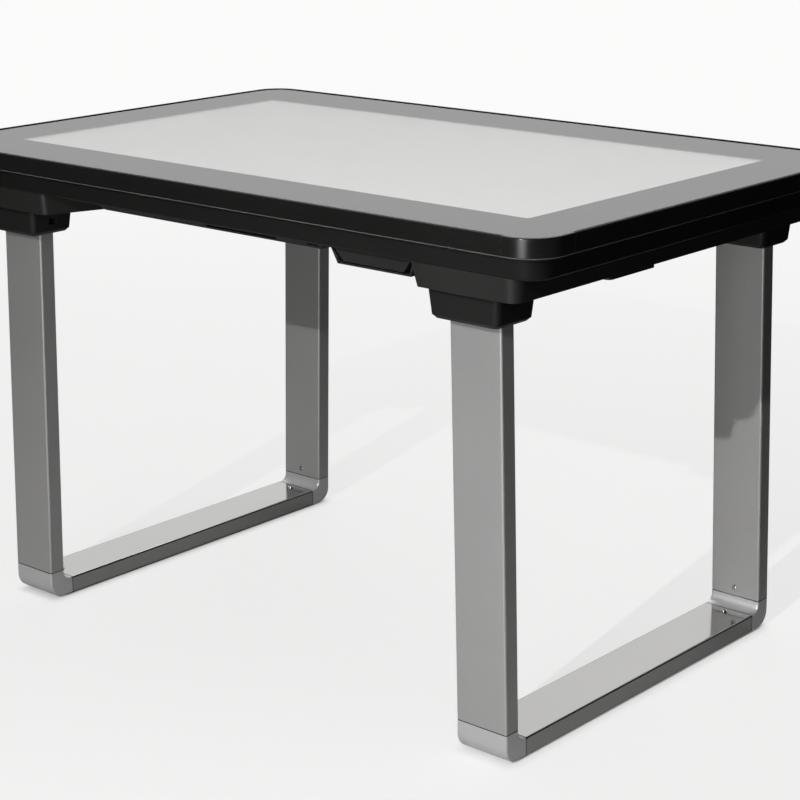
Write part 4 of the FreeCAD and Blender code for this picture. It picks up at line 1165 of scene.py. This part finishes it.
@dataclass(frozen=True)
class ViewCamera:
    """The camera at the photograph's view. The lens and its axis are given in pixels of the picture."""

    picture: float = 800.0
    focal: float = 2106.77
    axis_row: float = 320.0
    sensor: float = 36.0
    yaw: float = 41.0677
    pitch: float = 14.0202
    roll: float = -0.3177
    eye: Point = (1.462316, -1.647149, 0.878996)
    sight: float = 120.0

    def build(self) -> None:
        """Sets the camera up."""
        data = bpy.data.cameras.new("view_camera")
        data.sensor_width = self.sensor
        data.lens = self.focal / self.picture * self.sensor
        data.shift_y = (self.axis_row - self.picture / 2) / self.picture
        data.clip_end = self.sight
        camera = bpy.data.objects.new("view_camera", data)
        turn = (Matrix.Rotation(math.radians(self.yaw), 4, "Z")
                @ Matrix.Rotation(math.radians(90.0 - self.pitch), 4, "X")
                @ Matrix.Rotation(math.radians(self.roll), 4, "Z"))
        camera.matrix_world = Matrix.Translation(self.eye) @ turn
        bpy.context.scene.collection.objects.link(camera)
        bpy.context.scene.camera = camera


@dataclass
class Studio:
    """The pale floor, the backdrop, the black flag, the lamps and the camera."""

    floor_width: float = 60.0
    floor_level: float = -0.0002
    flag_middle: Point = (0.95, 1.0, 1.06)
    flag_width: float = 3.2
    flag_height: float = 2.0
    lamps: tuple[Softbox, ...] = (
        Softbox("key_lamp", (1.1, -4.8, 2.85), (0.38, 0.0, 0.12), 0.05, 0.05, 7.5, 36.0),
        Softbox("front_softbox", (0.75, -2.0, 0.45), (0.35, 0.2, 0.3), 0.6, 0.4, 18.0),
        Softbox("rear_softbox", (-1.3, 1.7, 2.9), (0.0, 0.0, 0.0), 1.4, 1.0, 12.0),
        Softbox("overhead_softbox", (-0.6, 0.5, 2.7), (0.0, 0.0, 0.4), 2.4, 2.0, 8.0),
    )

    def build(self) -> None:
        """Sets up the studio. The flag keeps light off the right of the table."""
        bpy.context.scene.view_settings.view_transform = "Standard"
        Backdrop().build()
        level = Matrix.Translation((0.0, 0.0, self.floor_level))
        self._panel("studio_floor", level, self.floor_width, self.floor_width,
                    PaleFloor("studio_floor_pale"))
        upright = Matrix.Translation(self.flag_middle) @ Matrix.Rotation(math.radians(90.0), 4, "Y")
        flag = self._panel("studio_flag", upright, self.flag_height, self.flag_width,
                           FlagCloth("studio_flag_black"))
        flag.visible_camera = False
        for lamp in self.lamps:
            lamp.build()
        ViewCamera().build()

    @staticmethod
    def _panel(name: str, place: Matrix, length: float, width: float, finish: Finish) -> Object:
        """Puts up a flat panel that belongs to the studio.

        Args:
            name: Its name.
            place: Where its middle goes and how it is turned.
            length: Its size along its own X.
            width: Its size along its own Y.
            finish: Its finish.

        Returns:
            The new panel.
        """
        shape = bmesh.new()
        rectangle(shape, place, length, width)
        panel = stand(shape, name, finish.build())
        return panel


def main() -> None:
    """Builds and dresses the table's groups in order, then sets up the studio."""
    logging.basicConfig(level=logging.INFO, format="%(message)s")
    for kind in (TopFrame, ScreenStack, LowerHousing, KeyRow, Beams, LegLoops, Fasteners):
        group = kind()
        group.build()
        group.dress()
    Studio().build()


if __name__ == "__main__":
    main()
